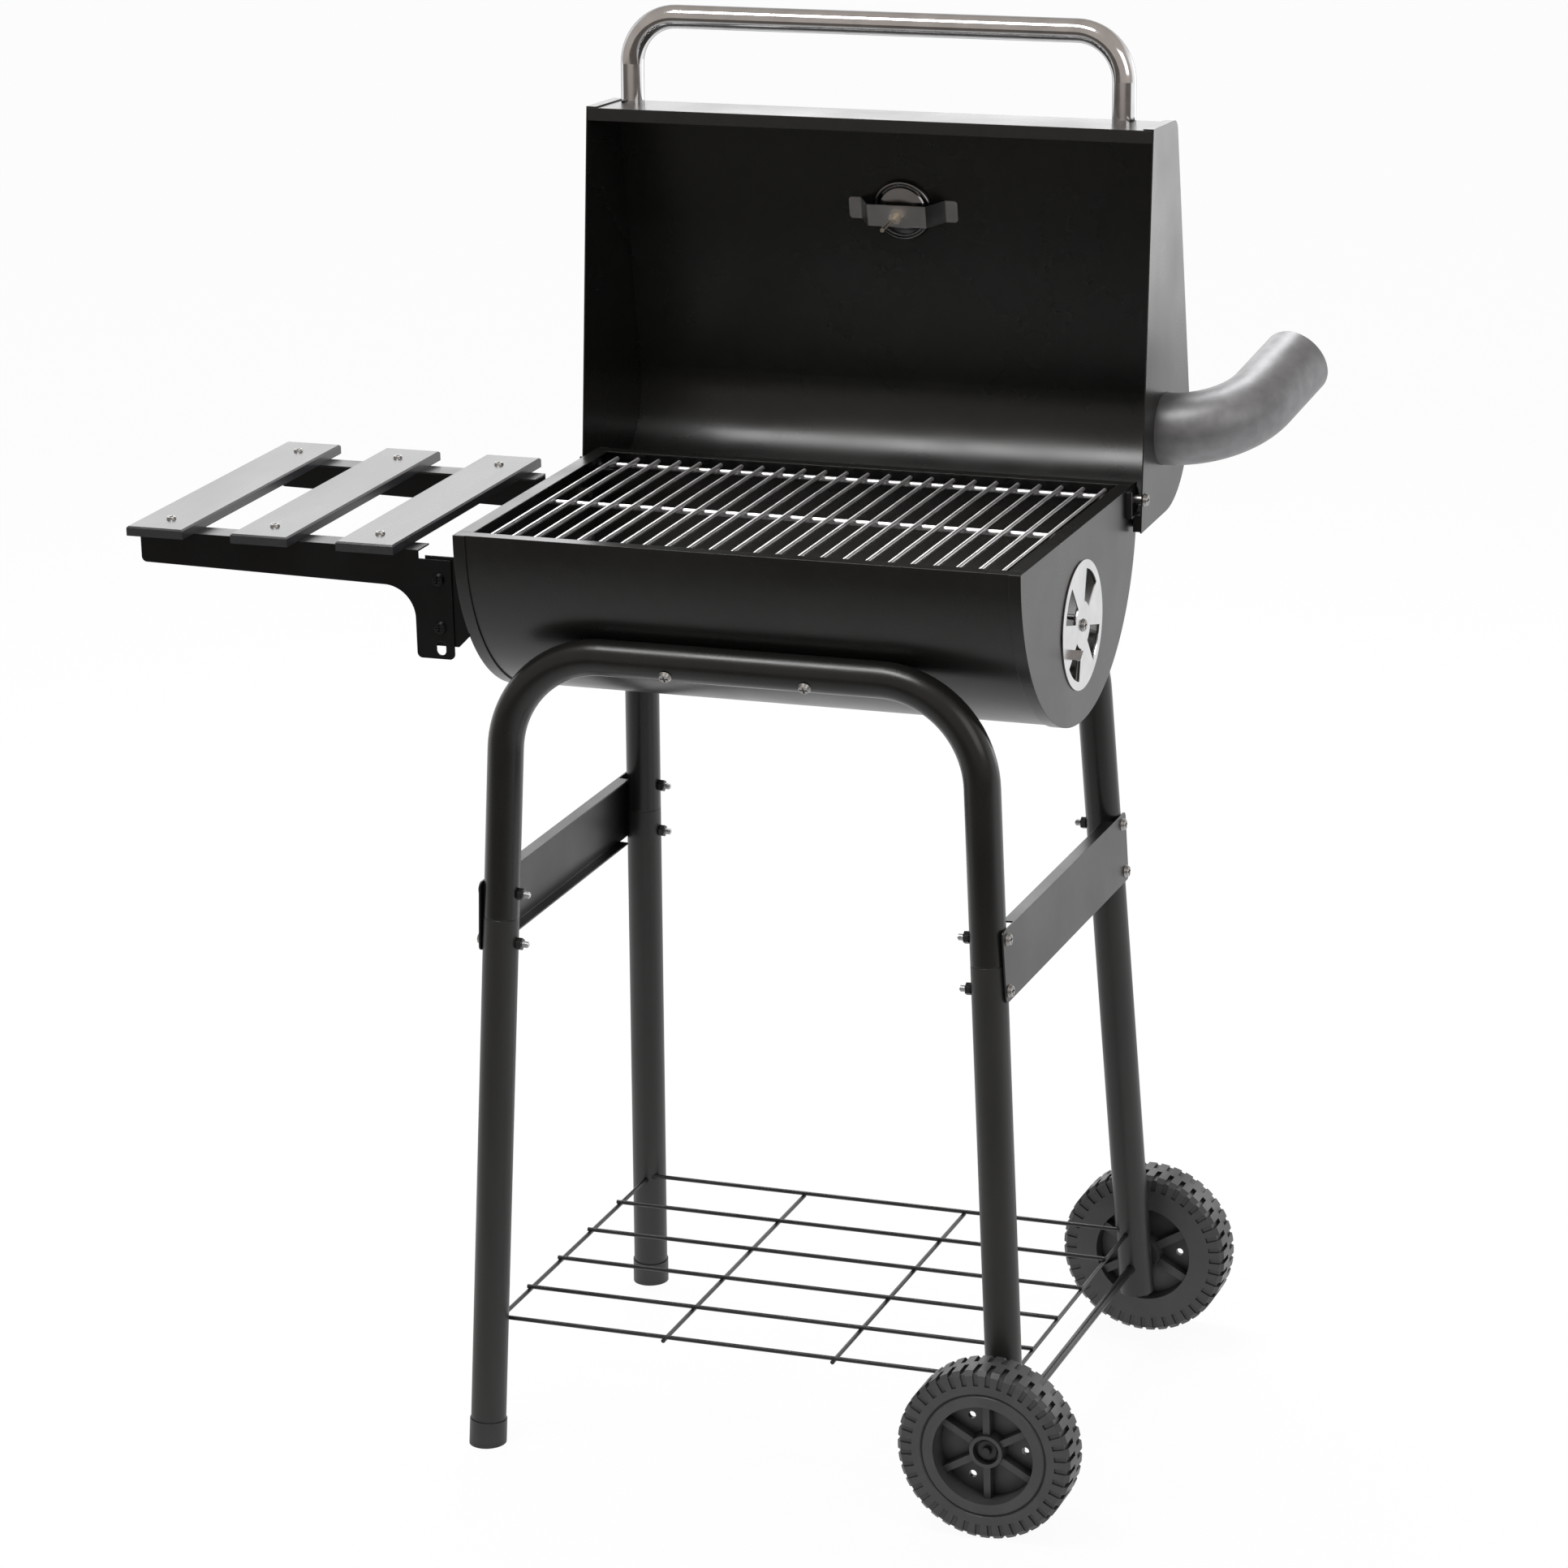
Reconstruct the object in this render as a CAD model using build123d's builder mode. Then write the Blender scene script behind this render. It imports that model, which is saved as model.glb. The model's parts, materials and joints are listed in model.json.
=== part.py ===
from build123d import *
import os
from math import atan, atan2, cos, degrees, hypot, radians, sin, sqrt, tan

# A barrel charcoal grill on a trolley: a half-round firebox, a hinged lid with a smoke elbow,
# a tube stand with two wheels, a wire shelf below and a slatted side shelf.
# Millimetres. +X is the wheel side, +Y the back, +Z up. The floor is at Z = 0 and the lid stands open.

# Sheet, tube and general clearances
sheet = 1.2
bracket_sheet = 1.5
fit_gap = 0.2
running_gap = 0.05
moving_gap = 0.4

# Firebox
firebox_length = 534.0
barrel_radius = 171.0
barrel_axis_height = 860.0
rim_rise = 7.0
rim_flange = 13.0
cap_flange = 11.5

# Cooking grate, its rests and the charcoal grate
grate_wire = 4.5
grate_bar = 5.0
grate_length = 483.0
grate_depth = 312.0
grate_wires = 24
grate_bar_inset = 8.0
grate_bar_end = 5.0
grate_drop = 6.0
weld_bite = 0.6
rest_width = 14.0
rest_rise = 9.0
coal_wire = 5.0
coal_level = 112.0
coal_pitch = 18.0
coal_wires = 13
coal_length = 490.0
coal_cross_pitch = 210.0

# Air vent in the right end
vent_radius = 59.0
vent_drop = 83.0
vent_sheet = 1.0
vent_inner = 21.5
vent_outer = 51.0
vent_window_angle = 40.0
vent_first_angle = 28.0
vent_turned = 8.0
vent_tab_width = 11.0
vent_tab_length = 9.0
vent_tab_radius = 35.0
rivet_radius = 3.0
rivet_head = 6.0
rivet_head_height = 2.4

# Lid and hinge
lid_lean = 7.0
lid_overhang = 10.5
lid_front_height = 75.0
lid_wall_slope = 4.0
lid_panel_slope = 14.7
lid_rear_slope = 8.4
lid_mouth = 366.0
lid_corner_radius = 10.0
lid_rear_radius = 80.0
lid_lip = 12.0
lid_rear_start = 27.0
lid_end_flange = 10.0
hinge_from_end = 29.0
hinge_from_mouth = 7.0
hinge_rear_inset = 9.3
hinge_below_rim = 14.0
stop_tab_length = 15.0
hinge_ear_radius = 12.5
hinge_plate_reach = 24.0
hinge_plate_flange = 5.5
hinge_spacer_radius = 4.75

# Lid handle
handle_diameter = 22.2
handle_wall = 1.5
handle_span = 484.0
handle_rise = 83.0
handle_bend = 45.0
handle_shift = -6.0
handle_from_mouth = 44.0
handle_plug = 18.0
handle_screw_radius = 2.5

# Smoke elbow on the right end of the lid
elbow_diameter = 67.0
elbow_wall = 1.2
elbow_along = 89.0
elbow_depth = 64.0
elbow_bend = 78.0
elbow_angle = 76.0
elbow_turn = 27.5
elbow_tail = 65.0
elbow_root = 3.0

# Lid thermometer
gauge_along = 277.0
gauge_shift = 6.0
gauge_case_radius = 29.4
gauge_bezel_radius = 34.5
gauge_bezel_height = 12.0
gauge_case_depth = 11.0
gauge_wall = 1.0
gauge_dome_radius = 22.5
gauge_dome_drop = 4.5
gauge_groove = 1.2
gauge_ring_radius = 26.5
gauge_dial_sheet = 0.8
gauge_lens_sheet = 2.0
gauge_lip = 4.0
gauge_pointer_length = 22.0
gauge_pointer_angle = 225.0
gauge_pointer_width = 2.4
gauge_pointer_sheet = 0.6
gauge_pointer_lift = 2.0
gauge_hub_radius = 3.0
gauge_stem_radius = 2.0
gauge_boss_radius = 4.0
gauge_stem_length = 64.0
gauge_clip_length = 108.0
gauge_clip_height = 21.0
gauge_clip_rise = 21.0
gauge_clip_seat = 58.0
gauge_clip_foot = 12.0
gauge_clip_corner = 3.5
gauge_nut_radius = 7.0
gauge_nut_height = 5.0

# Tube stand
tube_diameter = 33.0
tube_wall = 1.5
frame_bend = 95.0
frame_bar_drop = 100.0
frame_corner_span = 446.0
floor_span = 513.0
floor_stance = 411.0
seam_height = 511.0
spigot_length = 45.0
frame_bolt_span = 132.0
foot_height = 24.0
foot_wall = 0.8
foot_base = 4.0
right_leg_stub = 28.0

# Braces between the front and rear legs
brace_height = 66.0
brace_overhang = 10.0
brace_bolt_spacing = 47.0
brace_flange = 10.0
brace_leg_room = 7.0

# Lower wire shelf
shelf_wire = 4.0
shelf_height = 120.0
shelf_span = 498.0
shelf_stance = 373.0
shelf_long_wires = 6
shelf_cross_wires = 4

# Wheels and axle
wheel_radius = 81.0
wheel_width = 42.0
wheel_offset = 25.2
axle_radius = 4.0
rim_radius = 47.0
rim_groove_radius = 58.0
rim_groove = 1.6
tread_depth = 3.0
tread_lugs = 40
tread_gap = 4.6
tread_row = 18.0
tread_shoulder = 4.0
pocket_radius = 67.0
pocket_depth = 1.5
web_start = 15.0
web_thickness = 5.0
hub_radius = 17.0
hub_cup_radius = 12.0
hub_cup_floor = 25.0
hub_height = 33.0
hub_boss = 3.0
spoke_count = 6
spoke_width = 8.0
spoke_height = 10.0
lightening_hole = 3.5
lightening_circle = 33.0
retainer_radius = 9.0
retainer_height = 3.0
spacer_radius = 8.5
spacer_lean_room = 0.6

# Side shelf on the left
slat_width = 57.0
slat_length = 342.0
slat_thickness = 9.0
slat_pitch = 105.5
slat_count = 3
slat_gap_to_firebox = 60.0
slat_edge = 1.5
shelf_top_below_rim = 14.0
arm_spacing = 296.0
arm_web = 30.0
arm_flange = 25.0
arm_end_inset = 2.0
arm_leg_width = 37.0
arm_leg_length = 101.0
arm_fillet = 30.0
arm_corner = 5.0
arm_notch_length = 10.0
arm_notch_depth = 8.0
arm_to_firebox = 14.0
arm_slot_width = 9.5
arm_slot_length = 13.0
arm_slot_rise = 10.0
bracket_drop = 5.0
bracket_reach = 40.0
bracket_height = 84.0
bracket_flange = 28.0
bracket_chamfer = 10.0
arm_bolt_spacing = 45.0
bracket_bolt_inset = 13.0
bracket_bolt_top = 7.0
arm_bolt_top = 26.5

# Fasteners
bolt_radius = 3.0
bolt_head_radius = 6.2
bolt_head_height = 3.2
bolt_head_taper = 24.0
nut_radius = 5.8
nut_height = 5.0
screw_radius = 2.4
screw_head_radius = 4.8
screw_head_height = 2.2
screw_length = 16.0
recess_share = 0.62
recess_slot = 1.5
recess_depth = 1.6

# Working values that follow from the sizes above
cap_x = firebox_length / 2
barrel_end_x = cap_x - sheet
rim_height = barrel_axis_height + rim_rise
inner_radius = barrel_radius - sheet
cap_radius = barrel_radius + fit_gap + sheet
tube_radius = tube_diameter / 2
lid_x = cap_x + lid_overhang
bolt_hole = bolt_radius + fit_gap

pieces = {}


def keep(builder, name):
    """Name a finished piece and keep it for export."""
    builder.part.label = name
    pieces[name] = builder.part


def cross_recess(seat, head_radius, head_height):
    """A cross recess in the top of a screw head that stands on the seat plane."""
    reach = 2 * head_radius * recess_share
    with BuildSketch(seat.offset(head_height)) as cross:
        Rectangle(reach, recess_slot)
        Rectangle(recess_slot, reach)
    extrude(cross.sketch, amount=-recess_depth, mode=Mode.SUBTRACT)


def bolt(seat, length):
    """A pan-head bolt with its head on the seat plane and its shank behind it."""
    with BuildSketch(seat) as head:
        Circle(bolt_head_radius)
    extrude(head.sketch, amount=bolt_head_height, taper=bolt_head_taper)
    cross_recess(seat, bolt_head_radius, bolt_head_height)
    with BuildSketch(seat) as shank:
        Circle(bolt_radius)
    extrude(shank.sketch, amount=-length)


def nut(seat):
    """A hexagon nut standing on the seat plane."""
    with BuildSketch(seat) as hexagon:
        RegularPolygon(nut_radius, 6)
        Circle(bolt_radius + running_gap, mode=Mode.SUBTRACT)
    extrude(hexagon.sketch, amount=nut_height)


def drill(axis_plane, radius, reach):
    """A round hole through the piece being built, along the plane's normal, both ways."""
    with BuildSketch(axis_plane) as hole:
        Circle(radius)
    extrude(hole.sketch, amount=reach, both=True, mode=Mode.SUBTRACT)


def wire_run(start, end, diameter):
    """A straight round wire between two points."""
    start = Vector(*start)
    end = Vector(*end)
    with BuildSketch(Plane(origin=start, z_dir=end - start)) as section:
        Circle(diameter / 2)
    extrude(section.sketch, amount=(end - start).length)


# Firebox: one bent barrel sheet with a turned-in rim, closed by two dished end caps


def trough_outline(radius, top, mode=Mode.ADD):
    """The half-round section of the firebox with its short straight upper wall."""
    with BuildLine() as outline:
        Polyline(
            (-radius, barrel_axis_height),
            (-radius, top),
            (radius, top),
            (radius, barrel_axis_height),
        )
        ThreePointArc(
            (radius, barrel_axis_height),
            (0, barrel_axis_height - radius),
            (-radius, barrel_axis_height),
        )
    make_face(outline.edges(), mode=mode)


# The stand's top bars lie against the barrel, and their bolts point at the barrel's axis
bar_reach = barrel_radius + moving_gap + tube_radius
bar_height = barrel_axis_height - frame_bar_drop
bar_y = sqrt(bar_reach**2 - frame_bar_drop**2)


def frame_bolt_plane(side, x, outward):
    """A plane square to a frame bolt, at a distance from the bar's centre towards the outside."""
    direction = Vector(0, side * bar_y, -frame_bar_drop).normalized()
    return Plane(
        origin=Vector(x, side * bar_y, bar_height) + direction * outward,
        x_dir=(1, 0, 0),
        z_dir=direction,
    )


frame_bolt_places = [(side, x * frame_bolt_span / 2) for side in (-1, 1) for x in (-1, 1)]

with BuildPart() as firebox_barrel:
    with BuildSketch(Plane.YZ.offset(-barrel_end_x)):
        trough_outline(barrel_radius, rim_height)
        trough_outline(inner_radius, rim_height - sheet, mode=Mode.SUBTRACT)
        with Locations((0, rim_height)):
            Rectangle(2 * (barrel_radius - rim_flange), 4 * sheet, mode=Mode.SUBTRACT)
    extrude(amount=2 * barrel_end_x)
    for side, x in frame_bolt_places:
        drill(frame_bolt_plane(side, x, -tube_radius), bolt_hole, 4 * sheet)
keep(firebox_barrel, "firebox_barrel")

# Places on the firebox ends that other pieces share
hinge_y = barrel_radius - hinge_rear_inset
hinge_z = rim_height - hinge_below_rim
vent_z = barrel_axis_height - vent_drop
arm_y = arm_spacing / 2
bracket_y = arm_y - bracket_sheet - fit_gap
bracket_top = rim_height - shelf_top_below_rim - slat_thickness - bracket_drop
bracket_bolt_y = bracket_y - bracket_bolt_inset
bracket_bolt_z = [bracket_top - bracket_bolt_top - n * arm_bolt_spacing for n in (0, 1)]


def fan_windows(plane, first_angle):
    """Four fan-shaped windows around the vent's centre."""
    with BuildSketch(plane) as windows:
        for quarter in range(4):
            start = first_angle + quarter * 90
            with BuildLine():
                inner = CenterArc((0, 0), vent_inner, start, vent_window_angle)
                outer = CenterArc((0, 0), vent_outer, start, vent_window_angle)
                Line(inner @ 0, outer @ 0)
                Line(inner @ 1, outer @ 1)
            make_face()
    return windows.sketch


def vent_plane(x):
    """A plane square to the vent's axis, with +Y to the right and +Z up."""
    return Plane(origin=(x, 0, vent_z), x_dir=(0, 1, 0), z_dir=(1, 0, 0))


for side, name in ((-1, "firebox_end_left"), (1, "firebox_end_right")):
    with BuildPart() as firebox_end:
        with BuildSketch(Plane.YZ.offset(side * cap_x)):
            trough_outline(cap_radius, rim_height)
        extrude(amount=-side * cap_flange)
        with BuildSketch(Plane.YZ.offset(side * (cap_x - cap_flange))):
            trough_outline(barrel_radius + fit_gap, rim_height + sheet)
        extrude(amount=side * (cap_flange - sheet), mode=Mode.SUBTRACT)
        with BuildSketch(Plane.XY.offset(rim_height)):
            with Locations((side * (barrel_end_x - rim_flange / 2), 0)):
                Rectangle(rim_flange, 2 * (barrel_radius - rim_flange - fit_gap))
        extrude(amount=-sheet)
        drill(Plane(origin=(side * cap_x, hinge_y, hinge_z), z_dir=(1, 0, 0)), bolt_hole, 4 * sheet)
        if side > 0:
            extrude(
                fan_windows(vent_plane(cap_x), vent_first_angle), amount=-4 * sheet, mode=Mode.SUBTRACT
            )
            drill(vent_plane(cap_x), rivet_radius + running_gap, 4 * sheet)
        else:
            for y_side in (-1, 1):
                for z in bracket_bolt_z:
                    drill(
                        Plane(origin=(-cap_x, y_side * bracket_bolt_y, z), z_dir=(1, 0, 0)),
                        bolt_hole,
                        4 * sheet,
                    )
    keep(firebox_end, name)

# Cooking grate: round wires across three bars, resting on four small angle tabs
grate_z = rim_height - grate_drop
grate_bar_z = grate_z - (grate_wire + grate_bar) / 2 + weld_bite
grate_bar_y = grate_depth / 2 - grate_bar_inset
grate_pitch = grate_length / (grate_wires - 1)

with BuildPart() as cooking_grate:
    for index in range(grate_wires):
        x = -grate_length / 2 + index * grate_pitch
        wire_run((x, -grate_depth / 2, grate_z), (x, grate_depth / 2, grate_z), grate_wire)
    bar_end = grate_length / 2 + grate_bar_end
    for y in (-grate_bar_y, 0, grate_bar_y):
        wire_run((-bar_end, y, grate_bar_z), (bar_end, y, grate_bar_z), grate_bar)
keep(cooking_grate, "cooking_grate")

rest_top = grate_bar_z - grate_bar / 2 - moving_gap
rest_reach = barrel_end_x - grate_length / 2 + grate_bar_end / 2

with BuildPart() as grate_rests:
    for side in (-1, 1):
        for y in (-grate_bar_y, grate_bar_y):
            with BuildSketch(Plane.XZ.offset(-y - rest_width / 2)):
                with BuildLine():
                    Polyline(
                        (side * barrel_end_x, rest_top + rest_rise),
                        (side * barrel_end_x, rest_top - bracket_sheet),
                        (side * (barrel_end_x - rest_reach), rest_top - bracket_sheet),
                        (side * (barrel_end_x - rest_reach), rest_top),
                        (side * (barrel_end_x - bracket_sheet), rest_top),
                        (side * (barrel_end_x - bracket_sheet), rest_top + rest_rise),
                        close=True,
                    )
                make_face()
            extrude(amount=rest_width)
keep(grate_rests, "grate_rests")

# Charcoal grate: its cross wires end on the curved wall of the barrel
coal_z = barrel_axis_height - coal_level
coal_reach = sqrt((inner_radius - moving_gap) ** 2 - (coal_level + coal_wire / 2) ** 2)
coal_long_z = coal_z + coal_wire - weld_bite

with BuildPart() as charcoal_grate:
    for index in range(coal_wires):
        y = (index - (coal_wires - 1) / 2) * coal_pitch
        wire_run((-coal_length / 2, y, coal_long_z), (coal_length / 2, y, coal_long_z), coal_wire)
    for x in (-coal_cross_pitch, 0, coal_cross_pitch):
        wire_run((x, -coal_reach, coal_z), (x, coal_reach, coal_z), coal_wire)
keep(charcoal_grate, "charcoal_grate")

# Air vent: a slotted disc that turns on a rivet over matching windows in the right end
vent_x = cap_x + moving_gap

with BuildPart() as vent_disc:
    with BuildSketch(vent_plane(vent_x)):
        Circle(vent_radius)
        Circle(rivet_radius + running_gap, mode=Mode.SUBTRACT)
    extrude(amount=vent_sheet)
    extrude(
        fan_windows(vent_plane(vent_x), vent_first_angle + vent_turned),
        amount=vent_sheet,
        mode=Mode.SUBTRACT,
    )
    tab_angle = radians(vent_first_angle + vent_turned + 180)
    tab_plane = Plane(
        origin=(
            vent_x,
            vent_tab_radius * cos(tab_angle),
            vent_z + vent_tab_radius * sin(tab_angle),
        ),
        x_dir=(0, cos(tab_angle), sin(tab_angle)),
        z_dir=(1, 0, 0),
    )
    with BuildSketch(tab_plane):
        with Locations((0, -vent_sheet / 2)):
            Rectangle(vent_tab_width, vent_sheet)
    extrude(amount=vent_tab_length)
keep(vent_disc, "vent_disc")

with BuildPart() as vent_rivet:
    with BuildSketch(vent_plane(vent_x + vent_sheet + fit_gap)):
        Circle(rivet_head)
    extrude(amount=rivet_head_height, taper=bolt_head_taper)
    cross_recess(vent_plane(vent_x + vent_sheet + fit_gap), rivet_head, rivet_head_height)
    with BuildSketch(vent_plane(vent_x + vent_sheet + fit_gap)):
        Circle(rivet_radius)
    extrude(amount=-(vent_sheet + fit_gap + moving_gap + 2 * sheet))
    with BuildSketch(vent_plane(cap_x - sheet)):
        Circle(rivet_head)
    extrude(amount=-sheet)
keep(vent_rivet, "vent_rivet")

# Hinge: an angle plate on each end of the firebox, with a bolt that carries the lid's end plate
ear_foot = hinge_z - hinge_ear_radius
plate_front = hinge_y - hinge_plate_reach

with BuildPart() as hinge_plates:
    for side in (-1, 1):
        with BuildSketch(Plane.YZ.offset(side * cap_x)):
            with Locations((plate_front + hinge_plate_reach / 2, hinge_z)):
                Rectangle(hinge_plate_reach, 2 * hinge_ear_radius)
            with Locations((hinge_y, hinge_z)):
                Circle(hinge_ear_radius)
                Circle(bolt_hole, mode=Mode.SUBTRACT)
        extrude(amount=side * bracket_sheet)
        with BuildSketch(Plane.YZ.offset(side * cap_x)):
            with Locations((plate_front + bracket_sheet / 2, hinge_z)):
                Rectangle(bracket_sheet, 2 * hinge_ear_radius)
            with Locations((plate_front + hinge_plate_reach / 2, ear_foot + bracket_sheet / 2)):
                Rectangle(hinge_plate_reach, bracket_sheet)
        extrude(amount=side * hinge_plate_flange)
keep(hinge_plates, "hinge_plates")

lid_plate_in = lid_x - sheet
hinge_head_x = lid_x + fit_gap


def hinge_plane(side, x):
    """A plane square to the hinge axis, facing outwards."""
    return Plane(origin=(side * x, hinge_y, hinge_z), x_dir=(0, 1, 0), z_dir=(side, 0, 0))


with BuildPart() as hinge_bolts:
    for side in (-1, 1):
        bolt(hinge_plane(side, hinge_head_x), hinge_head_x - barrel_end_x + nut_height + sheet)
keep(hinge_bolts, "hinge_bolts")

with BuildPart() as hinge_nuts:
    for side in (-1, 1):
        nut(hinge_plane(side, barrel_end_x - nut_height))
keep(hinge_nuts, "hinge_nuts")

with BuildPart() as hinge_spacers:
    for side in (-1, 1):
        spacer_x = cap_x + bracket_sheet
        with BuildSketch(hinge_plane(side, spacer_x)):
            Circle(hinge_spacer_radius)
            Circle(bolt_radius + running_gap, mode=Mode.SUBTRACT)
        extrude(amount=lid_plate_in - fit_gap - spacer_x)
keep(hinge_spacers, "hinge_spacers")

# Lid: its section is drawn from the hinge, depth along the local X and along the mouth on local Y
lean = radians(lid_lean)
along = Vector(0, sin(lean), cos(lean))
depth = Vector(0, cos(lean), -sin(lean))
hinge_point = Vector(0, hinge_y, hinge_z)


def lid_point(x, deep, far):
    """A point of the lid from its distance behind the mouth and along it from the hinge end."""
    return (
        hinge_point
        + Vector(x, 0, 0)
        + depth * (deep - hinge_from_mouth)
        + along * (far - hinge_from_end)
    )


def lid_section_plane(x):
    """The lid's section plane, with its zero at the mouth's hinge end."""
    return Plane(origin=lid_point(x, 0, 0), x_dir=depth, z_dir=(1, 0, 0))


panel_rise = tan(radians(lid_panel_slope))
rear_run = tan(radians(lid_rear_slope))
wall_back = lid_mouth + lid_front_height * tan(radians(lid_wall_slope))
back_depth = (lid_front_height + panel_rise * wall_back) / (1 + panel_rise * rear_run)
back_along = rear_run * back_depth


def lid_outline():
    """The closed outline of the lid's end: front wall, sloping panel, round back and rear wall."""
    with BuildLine() as outline:
        Polyline(
            (0, 0),
            (0, lid_mouth),
            (lid_front_height, wall_back),
            (back_depth, back_along),
            close=True,
        )
    make_face(outline.edges())


def round_lid_corners(section):
    """Round the front corner and the wide back of a lid outline."""
    deepest_first = section.vertices().sort_by(Axis.X)
    fillet(deepest_first[-2:-1], lid_corner_radius)
    fillet(section.vertices().sort_by(Axis.X)[-1:], lid_rear_radius)


panel_normal = (depth * cos(radians(lid_panel_slope)) + along * sin(radians(lid_panel_slope))).normalized()
gauge_depth = lid_front_height + panel_rise * (wall_back - gauge_along)


def gauge_plane(out):
    """A plane square to the thermometer's axis, at a height over the lid's outer face."""
    return Plane(
        origin=lid_point(gauge_shift, gauge_depth, gauge_along) + panel_normal * (out - fit_gap),
        x_dir=(1, 0, 0),
        z_dir=panel_normal,
    )


handle_x = handle_span / 2
wall_slope = radians(lid_wall_slope)
wall_run = depth * cos(wall_slope) + along * sin(wall_slope)
wall_normal = along * cos(wall_slope) - depth * sin(wall_slope)


def wall_point(x, back, lift):
    """A point over the shell's front wall from its distance behind the mouth and its height."""
    return lid_point(x, 0, lid_mouth) + wall_run * back + wall_normal * (lift - fit_gap)


def handle_foot_plane(side, lift):
    """A plane square to a handle foot, at a height over the shell's front wall."""
    return Plane(
        origin=wall_point(handle_shift + side * handle_x, handle_from_mouth, lift),
        x_dir=(1, 0, 0),
        z_dir=wall_normal,
    )


with BuildPart() as lid_shell:
    with BuildSketch(lid_section_plane(-lid_plate_in)) as lid_section:
        lid_outline()
        round_lid_corners(lid_section)
        offset(amount=-fit_gap)
        offset(amount=-sheet, mode=Mode.SUBTRACT)
        with Locations((lid_rear_start / 2, (lid_mouth - lid_lip) / 2)):
            Rectangle(lid_rear_start, lid_mouth - lid_lip, mode=Mode.SUBTRACT)
    extrude(amount=2 * lid_plate_in)
    drill(gauge_plane(0), gauge_case_radius + fit_gap, 4 * sheet)
    for side in (-1, 1):
        drill(handle_foot_plane(side, 0), handle_screw_radius + fit_gap, 4 * sheet)
keep(lid_shell, "lid_shell")

elbow_radius = elbow_diameter / 2
turn = radians(elbow_turn)
elbow_up = depth * cos(turn) + along * sin(turn)


def elbow_plane(x):
    """The plane that the smoke elbow bends in, with its zero on the lid's end plate."""
    return Plane(
        origin=lid_point(x, elbow_depth, elbow_along),
        x_dir=(1, 0, 0),
        z_dir=Vector(1, 0, 0).cross(elbow_up),
    )


for side, name in ((-1, "lid_end_left"), (1, "lid_end_right")):
    with BuildPart() as lid_end:
        with BuildSketch(lid_section_plane(side * lid_x)) as plate_section:
            lid_outline()
            round_lid_corners(plate_section)
            offset(amount=sheet)
            with Locations((-sheet, lid_mouth / 2)):
                Rectangle(2 * sheet, lid_mouth + 4 * sheet, mode=Mode.SUBTRACT)
        extrude(amount=-side * lid_end_flange)
        with BuildSketch(lid_section_plane(side * (lid_x - lid_end_flange))) as pocket_section:
            lid_outline()
            round_lid_corners(pocket_section)
            with Locations((-sheet, lid_mouth / 2)):
                Rectangle(2 * sheet, lid_mouth)
        extrude(amount=side * (lid_end_flange - sheet), mode=Mode.SUBTRACT)
        with BuildSketch(lid_section_plane(side * lid_plate_in)):
            with Locations((lid_rear_start / 2, 0)):
                Rectangle(lid_rear_start, 4 * sheet)
        extrude(amount=-side * lid_end_flange, mode=Mode.SUBTRACT)
        with BuildSketch(lid_section_plane(side * lid_plate_in)):
            with Locations((sheet / 2, stop_tab_length / 2)):
                Rectangle(sheet, stop_tab_length)
        extrude(amount=-side * (lid_plate_in - cap_x - 2 * sheet))
        drill(hinge_plane(side, lid_plate_in), bolt_radius + running_gap, 4 * sheet)
        if side > 0:
            elbow_hole = Plane(origin=lid_point(lid_x, elbow_depth, elbow_along), z_dir=(1, 0, 0))
            drill(elbow_hole, elbow_radius + fit_gap, 4 * sheet)
    keep(lid_end, name)

# Handle: a bent tube with plugged ends, held by screws through the lid's front wall
with BuildPart() as lid_handle:
    handle_plane = Plane(
        origin=wall_point(handle_shift, handle_from_mouth, 0), x_dir=(1, 0, 0), z_dir=-wall_run
    )
    with BuildLine(handle_plane) as handle_path:
        FilletPolyline(
            (-handle_x, 0),
            (-handle_x, handle_rise),
            (handle_x, handle_rise),
            (handle_x, 0),
            radius=handle_bend,
        )
    with BuildSketch(handle_foot_plane(-1, 0)):
        Circle(handle_diameter / 2)
        Circle(handle_diameter / 2 - handle_wall, mode=Mode.SUBTRACT)
    sweep(path=handle_path.wire())
    for side in (-1, 1):
        with BuildSketch(handle_foot_plane(side, 0)):
            Circle(handle_diameter / 2)
            Circle(handle_screw_radius + running_gap, mode=Mode.SUBTRACT)
        extrude(amount=handle_plug)
keep(lid_handle, "lid_handle")

with BuildPart() as handle_screws:
    for side in (-1, 1):
        screw_seat = handle_foot_plane(side, -sheet)
        with BuildSketch(screw_seat):
            Circle(screw_head_radius)
        extrude(amount=-screw_head_height, taper=bolt_head_taper)
        with BuildSketch(screw_seat):
            Circle(handle_screw_radius)
        extrude(amount=handle_plug)
keep(handle_screws, "handle_screws")

# Smoke elbow: a tube that leaves the end plate sideways and bends
bend = radians(elbow_angle)

with BuildPart() as chimney:
    with BuildLine(elbow_plane(lid_x)) as elbow_path:
        root = Line((-elbow_root, 0), (elbow_root, 0))
        curve = JernArc(start=root @ 1, tangent=root % 1, radius=elbow_bend, arc_size=elbow_angle)
        Line(curve @ 1, (curve @ 1) + (curve % 1) * elbow_tail)
    with BuildSketch(Plane(origin=elbow_path.wire() @ 0, x_dir=depth, z_dir=(1, 0, 0))):
        Circle(elbow_radius)
        Circle(elbow_radius - elbow_wall, mode=Mode.SUBTRACT)
    sweep(path=elbow_path.wire())
keep(chimney, "chimney")

# Thermometer: a cup with a bezel in the lid's panel, held from inside by a strap and a nut
bezel_bore = gauge_bezel_radius - gauge_lip + gauge_wall
dial_seat = gauge_wall
lens_top = gauge_bezel_height - gauge_wall


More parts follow.
